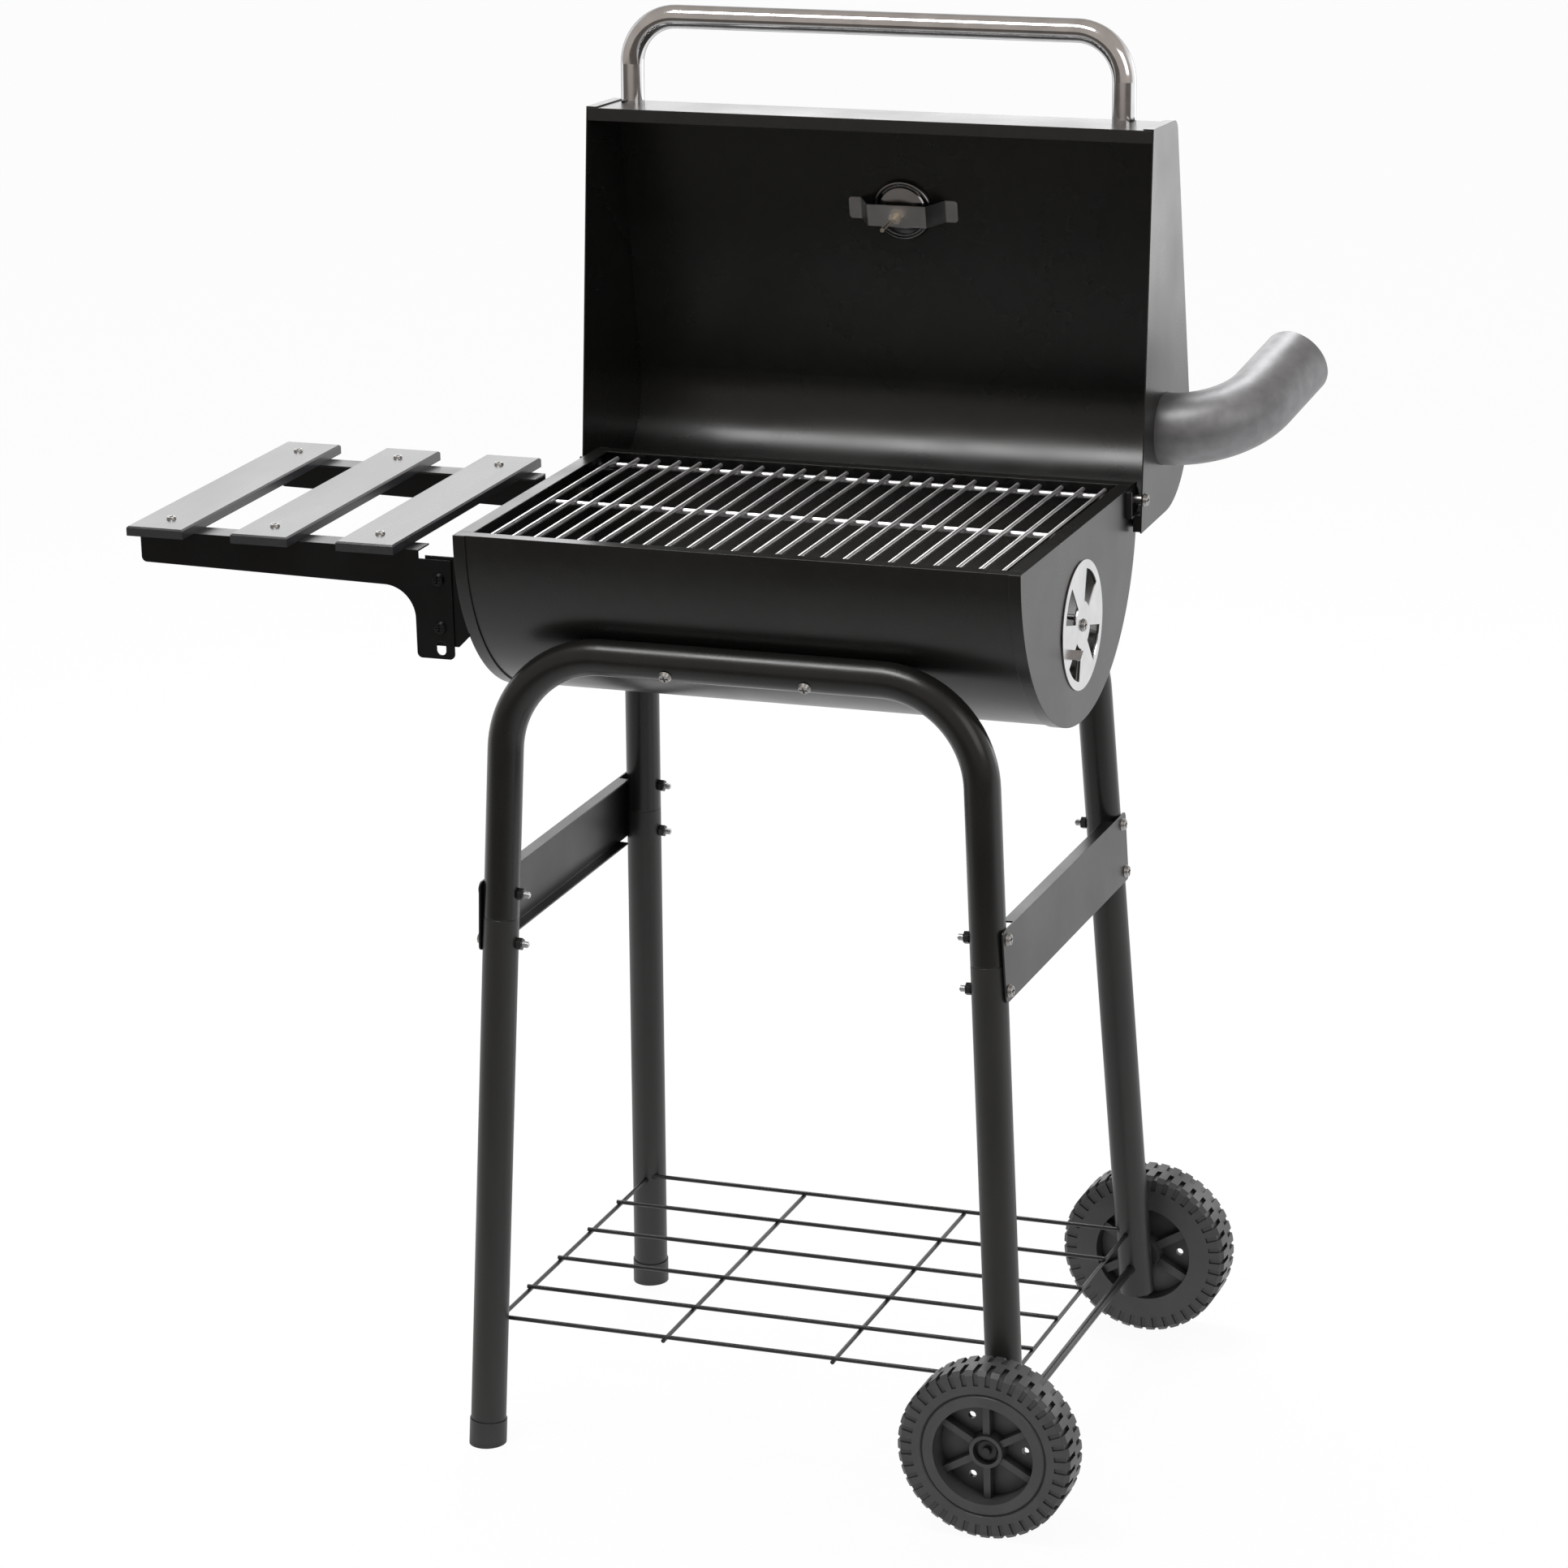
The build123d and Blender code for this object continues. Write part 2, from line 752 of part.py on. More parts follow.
def gauge_section_plane():
    """A plane through the thermometer's axis, with radius on X and height on Y."""
    base = gauge_plane(0)
    return Plane(origin=base.origin, x_dir=base.x_dir, z_dir=base.x_dir.cross(base.z_dir))


gauge_axis = Axis(gauge_plane(0).origin, panel_normal)
stem_collar = gauge_boss_radius + 2 * gauge_wall
ring_bend = gauge_case_radius - gauge_ring_radius
ring_level = gauge_dome_drop + ring_bend - gauge_case_depth


def spun_back(level, bend):
    """One face of the case's back: a flat seat, a shallow dome, a groove, a ring and a round edge."""
    flat = stem_collar + fit_gap
    ring = level + gauge_dome_drop
    Line((gauge_boss_radius + running_gap, level), (flat, level))
    ThreePointArc(
        (flat, level),
        ((flat + gauge_dome_radius) / 2, level + gauge_dome_drop / 4),
        (gauge_dome_radius, ring),
    )
    Polyline(
        (gauge_dome_radius, ring),
        (gauge_dome_radius + gauge_groove, ring + gauge_groove),
        (gauge_ring_radius - gauge_groove, ring + gauge_groove),
        (gauge_ring_radius, ring),
    )
    CenterArc((gauge_ring_radius, ring_level), bend, -90, 90)


with BuildPart() as gauge_case:
    with BuildSketch(gauge_section_plane()):
        with BuildLine():
            spun_back(-gauge_case_depth, ring_bend)
            Polyline(
                (gauge_case_radius, ring_level),
                (gauge_case_radius, 0),
                (gauge_bezel_radius, 0),
                (gauge_bezel_radius, gauge_bezel_height - gauge_wall),
                (gauge_bezel_radius - gauge_wall, gauge_bezel_height),
                (gauge_bezel_radius - gauge_lip, gauge_bezel_height),
                (gauge_bezel_radius - gauge_lip, lens_top),
                (bezel_bore, lens_top),
                (bezel_bore, dial_seat),
                (gauge_case_radius - gauge_wall, dial_seat),
                (gauge_case_radius - gauge_wall, ring_level),
            )
            spun_back(gauge_wall - gauge_case_depth, ring_bend - gauge_wall)
            Line(
                (gauge_boss_radius + running_gap, -gauge_case_depth),
                (gauge_boss_radius + running_gap, gauge_wall - gauge_case_depth),
            )
        make_face()
    revolve(axis=gauge_axis)
keep(gauge_case, "gauge_case")

with BuildPart() as gauge_dial:
    with BuildSketch(gauge_plane(dial_seat)):
        Circle(bezel_bore - fit_gap)
        Circle(gauge_stem_radius + fit_gap, mode=Mode.SUBTRACT)
    extrude(amount=gauge_dial_sheet)
keep(gauge_dial, "gauge_dial")

with BuildPart() as gauge_lens:
    with BuildSketch(gauge_plane(lens_top)):
        Circle(bezel_bore - fit_gap)
    extrude(amount=-gauge_lens_sheet)
keep(gauge_lens, "gauge_lens")

pointer_seat = dial_seat + gauge_dial_sheet + gauge_pointer_lift

with BuildPart() as gauge_pointer:
    with BuildSketch(gauge_plane(pointer_seat)):
        Circle(gauge_hub_radius)
        pointer_middle = (gauge_pointer_length - gauge_hub_radius) / 2
        with PolarLocations(pointer_middle, 1, start_angle=gauge_pointer_angle):
            Rectangle(gauge_pointer_length + gauge_hub_radius, gauge_pointer_width)
        Circle(gauge_stem_radius + running_gap, mode=Mode.SUBTRACT)
    extrude(amount=gauge_pointer_sheet)
keep(gauge_pointer, "gauge_pointer")

clip_top = -gauge_clip_rise
boss_top = 2 * gauge_wall - gauge_case_depth
boss_end = clip_top - 2 * gauge_wall - gauge_nut_height

with BuildPart() as gauge_stem:
    with BuildSketch(gauge_plane(pointer_seat + gauge_pointer_sheet + fit_gap)):
        Circle(gauge_stem_radius)
    extrude(amount=-(gauge_stem_length + pointer_seat))
    with BuildSketch(gauge_plane(boss_top)):
        Circle(gauge_boss_radius)
    extrude(amount=boss_end - boss_top)
    with BuildSketch(gauge_plane(boss_top - gauge_wall)):
        Circle(stem_collar)
    extrude(amount=gauge_wall)
keep(gauge_stem, "gauge_stem")

clip_foot_level = -sheet - gauge_wall
clip_seat_level = clip_top - gauge_wall

with BuildPart() as gauge_clip:
    with BuildSketch(gauge_section_plane()):
        with BuildLine():
            Polyline(
                (-gauge_clip_length / 2, clip_foot_level),
                (-gauge_clip_length / 2 + gauge_clip_foot, clip_foot_level),
                (-gauge_clip_seat / 2, clip_seat_level),
                (gauge_clip_seat / 2, clip_seat_level),
                (gauge_clip_length / 2 - gauge_clip_foot, clip_foot_level),
                (gauge_clip_length / 2, clip_foot_level),
                (gauge_clip_length / 2, clip_foot_level + gauge_wall),
                (gauge_clip_length / 2 - gauge_clip_foot, clip_foot_level + gauge_wall),
                (gauge_clip_seat / 2, clip_seat_level + gauge_wall),
                (-gauge_clip_seat / 2, clip_seat_level + gauge_wall),
                (-gauge_clip_length / 2 + gauge_clip_foot, clip_foot_level + gauge_wall),
                (-gauge_clip_length / 2, clip_foot_level + gauge_wall),
                close=True,
            )
        make_face()
    extrude(amount=gauge_clip_height / 2, both=True)
    foot_ends = gauge_clip.edges().filter_by(Axis(gauge_axis.position, gauge_axis.direction))
    fillet(foot_ends.sort_by_distance(gauge_axis.position)[-4:], gauge_clip_corner)
    drill(gauge_plane(clip_seat_level), gauge_boss_radius + running_gap, 3 * gauge_wall)
keep(gauge_clip, "gauge_clip")

with BuildPart() as gauge_nut:
    with BuildSketch(gauge_plane(clip_seat_level)):
        RegularPolygon(gauge_nut_radius, 6)
        Circle(gauge_boss_radius + running_gap, mode=Mode.SUBTRACT)
    extrude(amount=-gauge_nut_height)
keep(gauge_nut, "gauge_nut")

# Stand: two leaning U frames of tube carry the barrel, and lower legs plug into them
floor_x = floor_span / 2
floor_y = floor_stance / 2
corner_x = frame_corner_span / 2
frame_tilt = atan2(floor_y - bar_y, bar_height)
frame_drop = bar_height / cos(frame_tilt)
seam_drop = (bar_height - seam_height) / cos(frame_tilt)
seam_x = corner_x + (floor_x - corner_x) * seam_drop / frame_drop
side_lean = atan((floor_x - corner_x) / bar_height)


def frame_plane(side):
    """The leaning plane of the front (-1) or rear (1) U frame, with its zero on the bar."""
    return Plane(
        origin=(0, side * bar_y, bar_height),
        x_dir=(1, 0, 0),
        z_dir=(0, -cos(frame_tilt), -side * sin(frame_tilt)),
    )


def leg_plane(side_x, side_y):
    """A plane square to a leg at its seam, facing down the leg, with local X outwards."""
    corner = Vector(side_x * corner_x, side_y * bar_y, bar_height)
    foot = Vector(side_x * floor_x, side_y * floor_y, 0)
    down = (foot - corner).normalized()
    seam = corner + (foot - corner) * ((bar_height - seam_height) / bar_height)
    return Plane(origin=seam, x_dir=(side_x, 0, 0), z_dir=down)


def leg_bolt_plane(side_x, side_y, step, outward):
    """A plane square to a brace bolt: step is above (-1) or below (1) the seam."""
    leg = leg_plane(side_x, side_y)
    return Plane(
        origin=leg.origin + leg.z_dir * (step * brace_bolt_spacing / 2) + leg.x_dir * outward,
        x_dir=leg.z_dir,
        z_dir=leg.x_dir,
    )


leg_places = [(side_x, side_y) for side_x in (-1, 1) for side_y in (-1, 1)]
leg_length = seam_height / leg_plane(1, 1).z_dir.Z * -1

for side, name in ((-1, "front_frame"), (1, "rear_frame")):
    with BuildPart() as u_frame:
        with BuildLine(frame_plane(side)) as frame_path:
            FilletPolyline(
                (-seam_x, -seam_drop),
                (-corner_x, 0),
                (corner_x, 0),
                (seam_x, -seam_drop),
                radius=frame_bend,
            )
        with BuildSketch(Plane(origin=frame_path.wire() @ 0, z_dir=frame_path.wire() % 0)):
            Circle(tube_radius)
            Circle(tube_radius - tube_wall, mode=Mode.SUBTRACT)
        sweep(path=frame_path.wire())
        for x in (-frame_bolt_span / 2, frame_bolt_span / 2):
            drill(frame_bolt_plane(side, x, 0), bolt_hole, tube_diameter)
        for side_x in (-1, 1):
            drill(leg_bolt_plane(side_x, side, -1, 0), bolt_hole, tube_diameter)
    keep(u_frame, name)

# Lower legs: a swaged spigot at the top, feet on the left and the axle on the right
axle_z = wheel_radius
spigot_radius = tube_radius - tube_wall - fit_gap
shelf_x = shelf_span / 2
shelf_y = shelf_stance / 2
cross_z = shelf_height - shelf_wire + weld_bite
leg_names = {
    (-1, -1): "leg_front_left",
    (-1, 1): "leg_rear_left",
    (1, -1): "leg_front_right",
    (1, 1): "leg_rear_right",
}
leg_at_axle = leg_plane(1, 1).origin + leg_plane(1, 1).z_dir * (leg_length * (1 - axle_z / seam_height))
axle_x = leg_at_axle.X


for side_x, side_y in leg_places:
    leg = leg_plane(side_x, side_y)
    cut_length = leg_length - (foot_base if side_x < 0 else axle_z - right_leg_stub)
    with BuildPart() as lower_leg:
        with BuildSketch(leg):
            Circle(tube_radius)
            Circle(tube_radius - tube_wall, mode=Mode.SUBTRACT)
        extrude(amount=cut_length)
        with BuildSketch(leg.offset(-spigot_length)):
            Circle(spigot_radius)
            Circle(spigot_radius - tube_wall, mode=Mode.SUBTRACT)
        extrude(amount=spigot_length + tube_radius)
        with BuildSketch(leg.offset(2 * tube_wall)):
            Circle(tube_radius - tube_wall / 2)
            Circle(spigot_radius - tube_wall, mode=Mode.SUBTRACT)
        extrude(amount=tube_wall)
        for step in (-1, 1):
            drill(leg_bolt_plane(side_x, side_y, step, 0), bolt_hole, tube_diameter)
        wire_end = Vector(side_x * shelf_x, side_y * shelf_y, shelf_height)
        with BuildSketch(Plane(origin=wire_end, z_dir=(-side_x, 0, 0))):
            Circle(shelf_wire / 2 + fit_gap)
        extrude(amount=tube_radius, mode=Mode.SUBTRACT)
        cross_end = Vector(side_x * shelf_x, side_y * shelf_y, cross_z)
        with BuildSketch(Plane(origin=cross_end, z_dir=(0, -side_y, 0))):
            Circle(shelf_wire / 2 + fit_gap)
        extrude(amount=tube_radius, mode=Mode.SUBTRACT)
        if side_x > 0:
            drill(
                Plane(origin=(axle_x, side_y * leg_at_axle.Y, axle_z), z_dir=(0, 1, 0)),
                axle_radius + running_gap,
                tube_diameter,
            )
    keep(lower_leg, leg_names[side_x, side_y])

with BuildPart() as foot_caps:
    for side_y in (-1, 1):
        leg = leg_plane(-1, side_y)
        with BuildSketch(leg.offset(leg_length - foot_height)):
            Circle(tube_radius + fit_gap + foot_wall)
        extrude(amount=foot_height + foot_base)
        with BuildSketch(leg.offset(leg_length - foot_height)):
            Circle(tube_radius + fit_gap)
        extrude(amount=foot_height - foot_base, mode=Mode.SUBTRACT)
    with BuildSketch(Plane.XY):
        Rectangle(2 * floor_span, 2 * floor_stance)
    extrude(amount=-2 * foot_height, mode=Mode.SUBTRACT)
keep(foot_caps, "foot_caps")

# Braces: channel plates outside the legs, bolted above and below each seam
seam_y = leg_plane(1, 1).origin.Y
web_out = tube_radius + fit_gap
brace_half = seam_y + brace_overhang
brace_clear = seam_y - tube_radius - brace_leg_room

for side_x, name in ((-1, "brace_left"), (1, "brace_right")):
    brace_plane = Plane(
        origin=(side_x * seam_x, 0, seam_height),
        x_dir=(0, 1, 0),
        z_dir=(side_x * cos(side_lean), 0, sin(side_lean)),
    )
    with BuildPart() as brace:
        with BuildSketch(brace_plane.offset(web_out)):
            RectangleRounded(2 * brace_half, brace_height, arm_corner)
        extrude(amount=bracket_sheet)
        with BuildSketch(brace_plane.offset(web_out)):
            for edge in (-1, 1):
                with Locations((0, edge * (brace_height - bracket_sheet) / 2)):
                    Rectangle(2 * brace_clear, bracket_sheet)
        extrude(amount=-brace_flange)
        for side_y in (-1, 1):
            for step in (-1, 1):
                drill(leg_bolt_plane(side_x, side_y, step, web_out), bolt_hole, 4 * bracket_sheet)
    keep(brace, name)

leg_bolts = [(side_x, side_y, step) for side_x, side_y in leg_places for step in (-1, 1)]
brace_grip = 2 * tube_radius + 2 * fit_gap + bracket_sheet

with BuildPart() as brace_bolts:
    for side_x, side_y, step in leg_bolts:
        seat = leg_bolt_plane(side_x, side_y, step, web_out + bracket_sheet + fit_gap)
        bolt(seat, brace_grip + nut_height + 2 * fit_gap)
keep(brace_bolts, "brace_bolts")

with BuildPart() as brace_nuts:
    for side_x, side_y, step in leg_bolts:
        nut(leg_bolt_plane(side_x, side_y, step, -tube_radius - fit_gap - nut_height))
keep(brace_nuts, "brace_nuts")

frame_grip = 2 * tube_radius + moving_gap + sheet

with BuildPart() as frame_bolts:
    for side, x in frame_bolt_places:
        bolt(frame_bolt_plane(side, x, tube_radius + fit_gap), frame_grip + 2 * nut_height)
keep(frame_bolts, "frame_bolts")

with BuildPart() as frame_nuts:
    for side, x in frame_bolt_places:
        nut(frame_bolt_plane(side, x, tube_radius - frame_grip - nut_height - fit_gap))
keep(frame_nuts, "frame_nuts")

# Lower shelf: long wires over cross wires, with its corners in holes of the legs
with BuildPart() as lower_shelf:
    for index in range(shelf_long_wires):
        y = -shelf_y + index * shelf_stance / (shelf_long_wires - 1)
        end = shelf_x + shelf_wire / 2
        wire_run((-end, y, shelf_height), (end, y, shelf_height), shelf_wire)
    for index in range(shelf_cross_wires):
        x = -shelf_x + index * shelf_span / (shelf_cross_wires - 1)
        end = shelf_y + shelf_wire / 2
        wire_run((x, -end, cross_z), (x, end, cross_z), shelf_wire)
keep(lower_shelf, "lower_shelf")

# Wheels: one moulding each, with a deep rim, six ribs, a cupped hub and two rows of tread lugs
wheel_y = leg_at_axle.Y + wheel_offset
axle_end = wheel_y + hub_height


def wheel_plane(side, out):
    """A plane square to the axle, facing outwards, from the wheel's inner face."""
    return Plane(
        origin=(axle_x, side * (wheel_y + out), axle_z), x_dir=(1, 0, 0), z_dir=(0, side, 0)
    )


for side, name in ((-1, "wheel_front"), (1, "wheel_rear")):
    hub_plane = wheel_plane(side, 0)
    section_plane = Plane(
        origin=hub_plane.origin, x_dir=(1, 0, 0), z_dir=Vector(1, 0, 0).cross(hub_plane.z_dir)
    )
    with BuildPart() as wheel:
        with BuildSketch(section_plane):
            with BuildLine():
                Polyline(
                    (rim_radius, 0),
                    (wheel_radius - tread_shoulder, 0),
                    (wheel_radius, tread_shoulder),
                    (wheel_radius, wheel_width - tread_shoulder),
                    (wheel_radius - tread_shoulder, wheel_width),
                    (rim_groove_radius + rim_groove, wheel_width),
                    (rim_groove_radius, wheel_width - rim_groove),
                    (rim_groove_radius - rim_groove, wheel_width),
                    (rim_radius, wheel_width),
                    (rim_radius - rim_groove, web_start + web_thickness),
                    (hub_radius, web_start + web_thickness),
                    (hub_radius - rim_groove, hub_height),
                    (hub_cup_radius, hub_height),
                    (hub_cup_radius, hub_cup_floor),
                    (axle_radius + running_gap, hub_cup_floor),
                    (axle_radius + running_gap, -hub_boss),
                    (hub_radius - rim_groove, -hub_boss),
                    (hub_radius, web_start),
                    (rim_radius - rim_groove, web_start),
                    close=True,
                )
            make_face()
        revolve(axis=Axis(hub_plane.origin, hub_plane.z_dir))
        spoke_length = rim_radius - hub_radius + 2 * rim_groove
        spoke_middle = (rim_radius + hub_radius) / 2 - rim_groove / 2
        with BuildSketch(wheel_plane(side, web_start + web_thickness - rim_groove)):
            with PolarLocations(spoke_middle, spoke_count, start_angle=90):
                Rectangle(spoke_length, spoke_width)
        extrude(amount=spoke_height + rim_groove, taper=4)
        with BuildSketch(wheel_plane(side, web_start + rim_groove)):
            with PolarLocations(spoke_middle, spoke_count, start_angle=90):
                Rectangle(spoke_length, spoke_width)
        extrude(amount=-(spoke_height + rim_groove))
        with BuildSketch(wheel_plane(side, web_start)):
            with PolarLocations(lightening_circle, spoke_count // 2, start_angle=120):
                Circle(lightening_hole)
        extrude(amount=web_thickness, mode=Mode.SUBTRACT)
        half_pitch = 180 / tread_lugs
        for row, start in ((0, 0), (wheel_width - tread_row, half_pitch)):
            with BuildSketch(wheel_plane(side, row)):
                with PolarLocations(wheel_radius, tread_lugs, start_angle=start):
                    Rectangle(2 * tread_depth, tread_gap)
            extrude(amount=tread_row, mode=Mode.SUBTRACT)
        for face, start, cut in ((0, 0, pocket_depth), (wheel_width, half_pitch, -pocket_depth)):
            with BuildSketch(wheel_plane(side, face)):
                with PolarLocations((pocket_radius + wheel_radius) / 2, tread_lugs, start_angle=start):
                    Rectangle(wheel_radius - pocket_radius, tread_gap)
            extrude(amount=cut, mode=Mode.SUBTRACT)
    keep(wheel, name)

with BuildPart() as axle:
    with BuildSketch(Plane(origin=(axle_x, -axle_end, axle_z), z_dir=(0, 1, 0))):
        Circle(axle_radius)
    extrude(amount=2 * axle_end)
keep(axle, "axle")

with BuildPart() as wheel_spacers:
    for side in (-1, 1):
        spacer_start = leg_at_axle.Y + tube_radius + fit_gap + spacer_lean_room - wheel_y
        with BuildSketch(wheel_plane(side, spacer_start)):
            Circle(spacer_radius)
            Circle(axle_radius + running_gap, mode=Mode.SUBTRACT)
        extrude(amount=-hub_boss - moving_gap - spacer_start)
keep(wheel_spacers, "wheel_spacers")

with BuildPart() as axle_retainers:
    for side in (-1, 1):
        with BuildSketch(wheel_plane(side, hub_cup_floor + moving_gap)):
            Circle(retainer_radius)
            Circle(axle_radius + running_gap, mode=Mode.SUBTRACT)
        extrude(amount=retainer_height)
keep(axle_retainers, "axle_retainers")

# Side shelf: two sheet-metal arms on angle brackets carry three slats
slat_top = rim_height - shelf_top_below_rim
arm_top = slat_top - slat_thickness
slat_centres = [
    -cap_x - slat_gap_to_firebox - slat_width / 2 - index * slat_pitch for index in range(slat_count)
]
arm_end_x = slat_centres[-1] - slat_width / 2 + arm_end_inset
arm_leg_in = -cap_x - arm_to_firebox
arm_leg_out = arm_leg_in - arm_leg_width
arm_bolt_x = -cap_x - arm_to_firebox - bracket_bolt_inset
arm_bolt_z = [arm_top - arm_bolt_top - n * arm_bolt_spacing for n in (0, 1)]
arm_bottom = arm_top - arm_leg_length
slat_screw_y = arm_y - arm_flange / 2

for side, name in ((-1, "shelf_bracket_front"), (1, "shelf_bracket_rear")):
    with BuildPart() as shelf_bracket:
        with BuildSketch(Plane.XZ.offset(-side * bracket_y)):
            with BuildLine():
                Polyline(
                    (-cap_x, bracket_top),
                    (-cap_x - bracket_reach, bracket_top),
                    (-cap_x - bracket_reach, bracket_top - bracket_height),
                    (-cap_x - bracket_chamfer, bracket_top - bracket_height),
                    (-cap_x, bracket_top - bracket_height + bracket_chamfer),
                    close=True,
                )
            make_face()
        extrude(amount=side * bracket_sheet)
        with BuildSketch(Plane.YZ.offset(-cap_x)):
            with Locations((side * (bracket_y - bracket_flange / 2), bracket_top - bracket_height / 2)):
                Rectangle(bracket_flange, bracket_height - 2 * bracket_chamfer)
        extrude(amount=-bracket_sheet)
        for z in arm_bolt_z:
            drill(Plane(origin=(arm_bolt_x, side * bracket_y, z), z_dir=(0, 1, 0)), bolt_hole, 4 * sheet)
        for z in bracket_bolt_z:
            drill(
                Plane(origin=(-cap_x, side * bracket_bolt_y, z), z_dir=(1, 0, 0)), bolt_hole, 4 * sheet
            )
    keep(shelf_bracket, name)

for side, name in ((-1, "shelf_arm_front"), (1, "shelf_arm_rear")):
    with BuildPart() as shelf_arm:
        with BuildSketch(Plane.XZ.offset(-side * arm_y)) as arm_section:
            with BuildLine():
                Polyline(
                    (arm_end_x, arm_top),
                    (arm_leg_out + arm_notch_length / 2, arm_top),
                    (arm_leg_out + arm_notch_length / 2, arm_top - arm_notch_depth),
                    (arm_leg_in, arm_top - arm_notch_depth),
                    (arm_leg_in, arm_bottom),
                    (arm_leg_out, arm_bottom),
                    (arm_leg_out, arm_top - arm_web - arm_corner),
                    (arm_end_x, arm_top - arm_web),
                    close=True,
                )
            make_face()
            by_height = arm_section.vertices().sort_by(Axis.Y)
            fillet(by_height[:2], arm_corner)
            outer_corner = arm_section.vertices().sort_by(Axis.X)[:2].sort_by(Axis.Y)[:1]
            fillet(outer_corner, arm_corner)
            inner_corner = arm_section.vertices().sort_by_distance(
                (arm_leg_out, arm_top - arm_web - arm_corner)
            )[:1]
            fillet(inner_corner, arm_fillet)
            with Locations((arm_bolt_x, arm_bottom + arm_slot_rise)):
                SlotOverall(arm_slot_length, arm_slot_width, rotation=90, mode=Mode.SUBTRACT)
        extrude(amount=side * bracket_sheet)
        flange_end = arm_leg_out + arm_notch_length / 2
        with BuildSketch(Plane.XY.offset(arm_top)):
            with Locations(((arm_end_x + flange_end) / 2, side * (arm_y - arm_flange / 2))):
                Rectangle(flange_end - arm_end_x, arm_flange)
        extrude(amount=-bracket_sheet)
        for x in slat_centres:
            drill(Plane(origin=(x, side * slat_screw_y, arm_top)), screw_radius + fit_gap, 4 * sheet)
        for z in arm_bolt_z:
            drill(Plane(origin=(arm_bolt_x, side * arm_y, z), z_dir=(0, 1, 0)), bolt_hole, 4 * sheet)
    keep(shelf_arm, name)

for index, name in enumerate(("slat_inner", "slat_middle", "slat_outer")):
    with BuildPart() as slat:
        with BuildSketch(Plane.XY.offset(arm_top)):
            with Locations((slat_centres[index], 0)):
                Rectangle(slat_width, slat_length)
        extrude(amount=slat_thickness)
        chamfer(slat.edges().group_by(Axis.Z)[-1], slat_edge)
        for side in (-1, 1):
            drill(
                Plane(origin=(slat_centres[index], side * slat_screw_y, arm_top)),
                screw_radius + fit_gap,
                2 * slat_thickness,
            )
    keep(slat, name)

with BuildPart() as slat_screws:
    for x in slat_centres:
        for side in (-1, 1):
            seat = Plane(origin=(x, side * slat_screw_y, slat_top))
            with BuildSketch(seat):
                Circle(screw_head_radius)
            extrude(amount=screw_head_height, taper=bolt_head_taper)
            cross_recess(seat, screw_head_radius, screw_head_height)
            with BuildSketch(seat):
                Circle(screw_radius)
            extrude(amount=-screw_length)
keep(slat_screws, "slat_screws")

arm_grip = 2 * bracket_sheet + fit_gap

with BuildPart() as arm_bolts:
    for side in (-1, 1):
        for z in arm_bolt_z:
            seat = Plane(origin=(arm_bolt_x, side * arm_y, z), x_dir=(1, 0, 0), z_dir=(0, side, 0))
            bolt(seat, arm_grip + nut_height + 2 * fit_gap)
            nut(seat.offset(-arm_grip - nut_height - running_gap))
keep(arm_bolts, "arm_bolts")

with BuildPart() as bracket_bolts:
    for side in (-1, 1):
        for z in bracket_bolt_z:
            seat = Plane(
                origin=(-cap_x - bracket_sheet, side * bracket_bolt_y, z), x_dir=(0, 1, 0), z_dir=(-1, 0, 0)
            )
            bolt(seat, bracket_sheet + sheet + nut_height + 2 * fit_gap)
            nut(seat.offset(-bracket_sheet - sheet - nut_height))
keep(bracket_bolts, "bracket_bolts")

# Export, with the origin on the floor under the middle of the whole grill
boxes = [piece.bounding_box() for piece in pieces.values()]
middle_x = (min(box.min.X for box in boxes) + max(box.max.X for box in boxes)) / 2
middle_y = (min(box.min.Y for box in boxes) + max(box.max.Y for box in boxes)) / 2
stance = Location((-middle_x, -middle_y, 0))

os.makedirs("parts", exist_ok=True)
for name, piece in pieces.items():
    placed = piece.moved(stance)
    placed.label = name
    export_step(placed, f"parts/{name}.step")
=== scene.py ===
"""Finishes, dial print, stage and camera for a barrel charcoal grill on a wheeled trolley."""

import json
import math

import bpy
from bpy.props import FloatProperty, FloatVectorProperty, IntProperty, PointerProperty
from bpy.types import Operator, Panel, PropertyGroup
from mathutils import Matrix, Vector


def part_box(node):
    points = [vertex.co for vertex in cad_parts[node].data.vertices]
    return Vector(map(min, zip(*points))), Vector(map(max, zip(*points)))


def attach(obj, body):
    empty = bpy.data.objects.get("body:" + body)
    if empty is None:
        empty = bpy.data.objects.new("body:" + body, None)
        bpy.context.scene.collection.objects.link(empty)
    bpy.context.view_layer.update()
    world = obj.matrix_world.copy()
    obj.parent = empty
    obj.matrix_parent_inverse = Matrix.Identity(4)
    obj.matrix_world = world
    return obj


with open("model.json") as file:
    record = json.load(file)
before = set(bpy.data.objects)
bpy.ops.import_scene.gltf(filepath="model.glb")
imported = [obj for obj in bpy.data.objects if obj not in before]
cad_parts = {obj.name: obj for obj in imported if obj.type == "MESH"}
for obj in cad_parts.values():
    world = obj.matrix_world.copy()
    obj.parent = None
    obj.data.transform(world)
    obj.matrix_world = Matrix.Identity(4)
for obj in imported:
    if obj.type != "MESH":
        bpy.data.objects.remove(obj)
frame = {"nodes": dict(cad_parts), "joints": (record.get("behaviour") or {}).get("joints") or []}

bl_info = {
    "name": "Barrel grill finishes",
    "version": (1, 0, 0),
    "blender": (4, 5, 0),
    "location": "View3D > Sidebar > Grill",
    "description": "Finishes a barrel grill, prints its dial and sets up a white studio",
    "category": "Object",
}

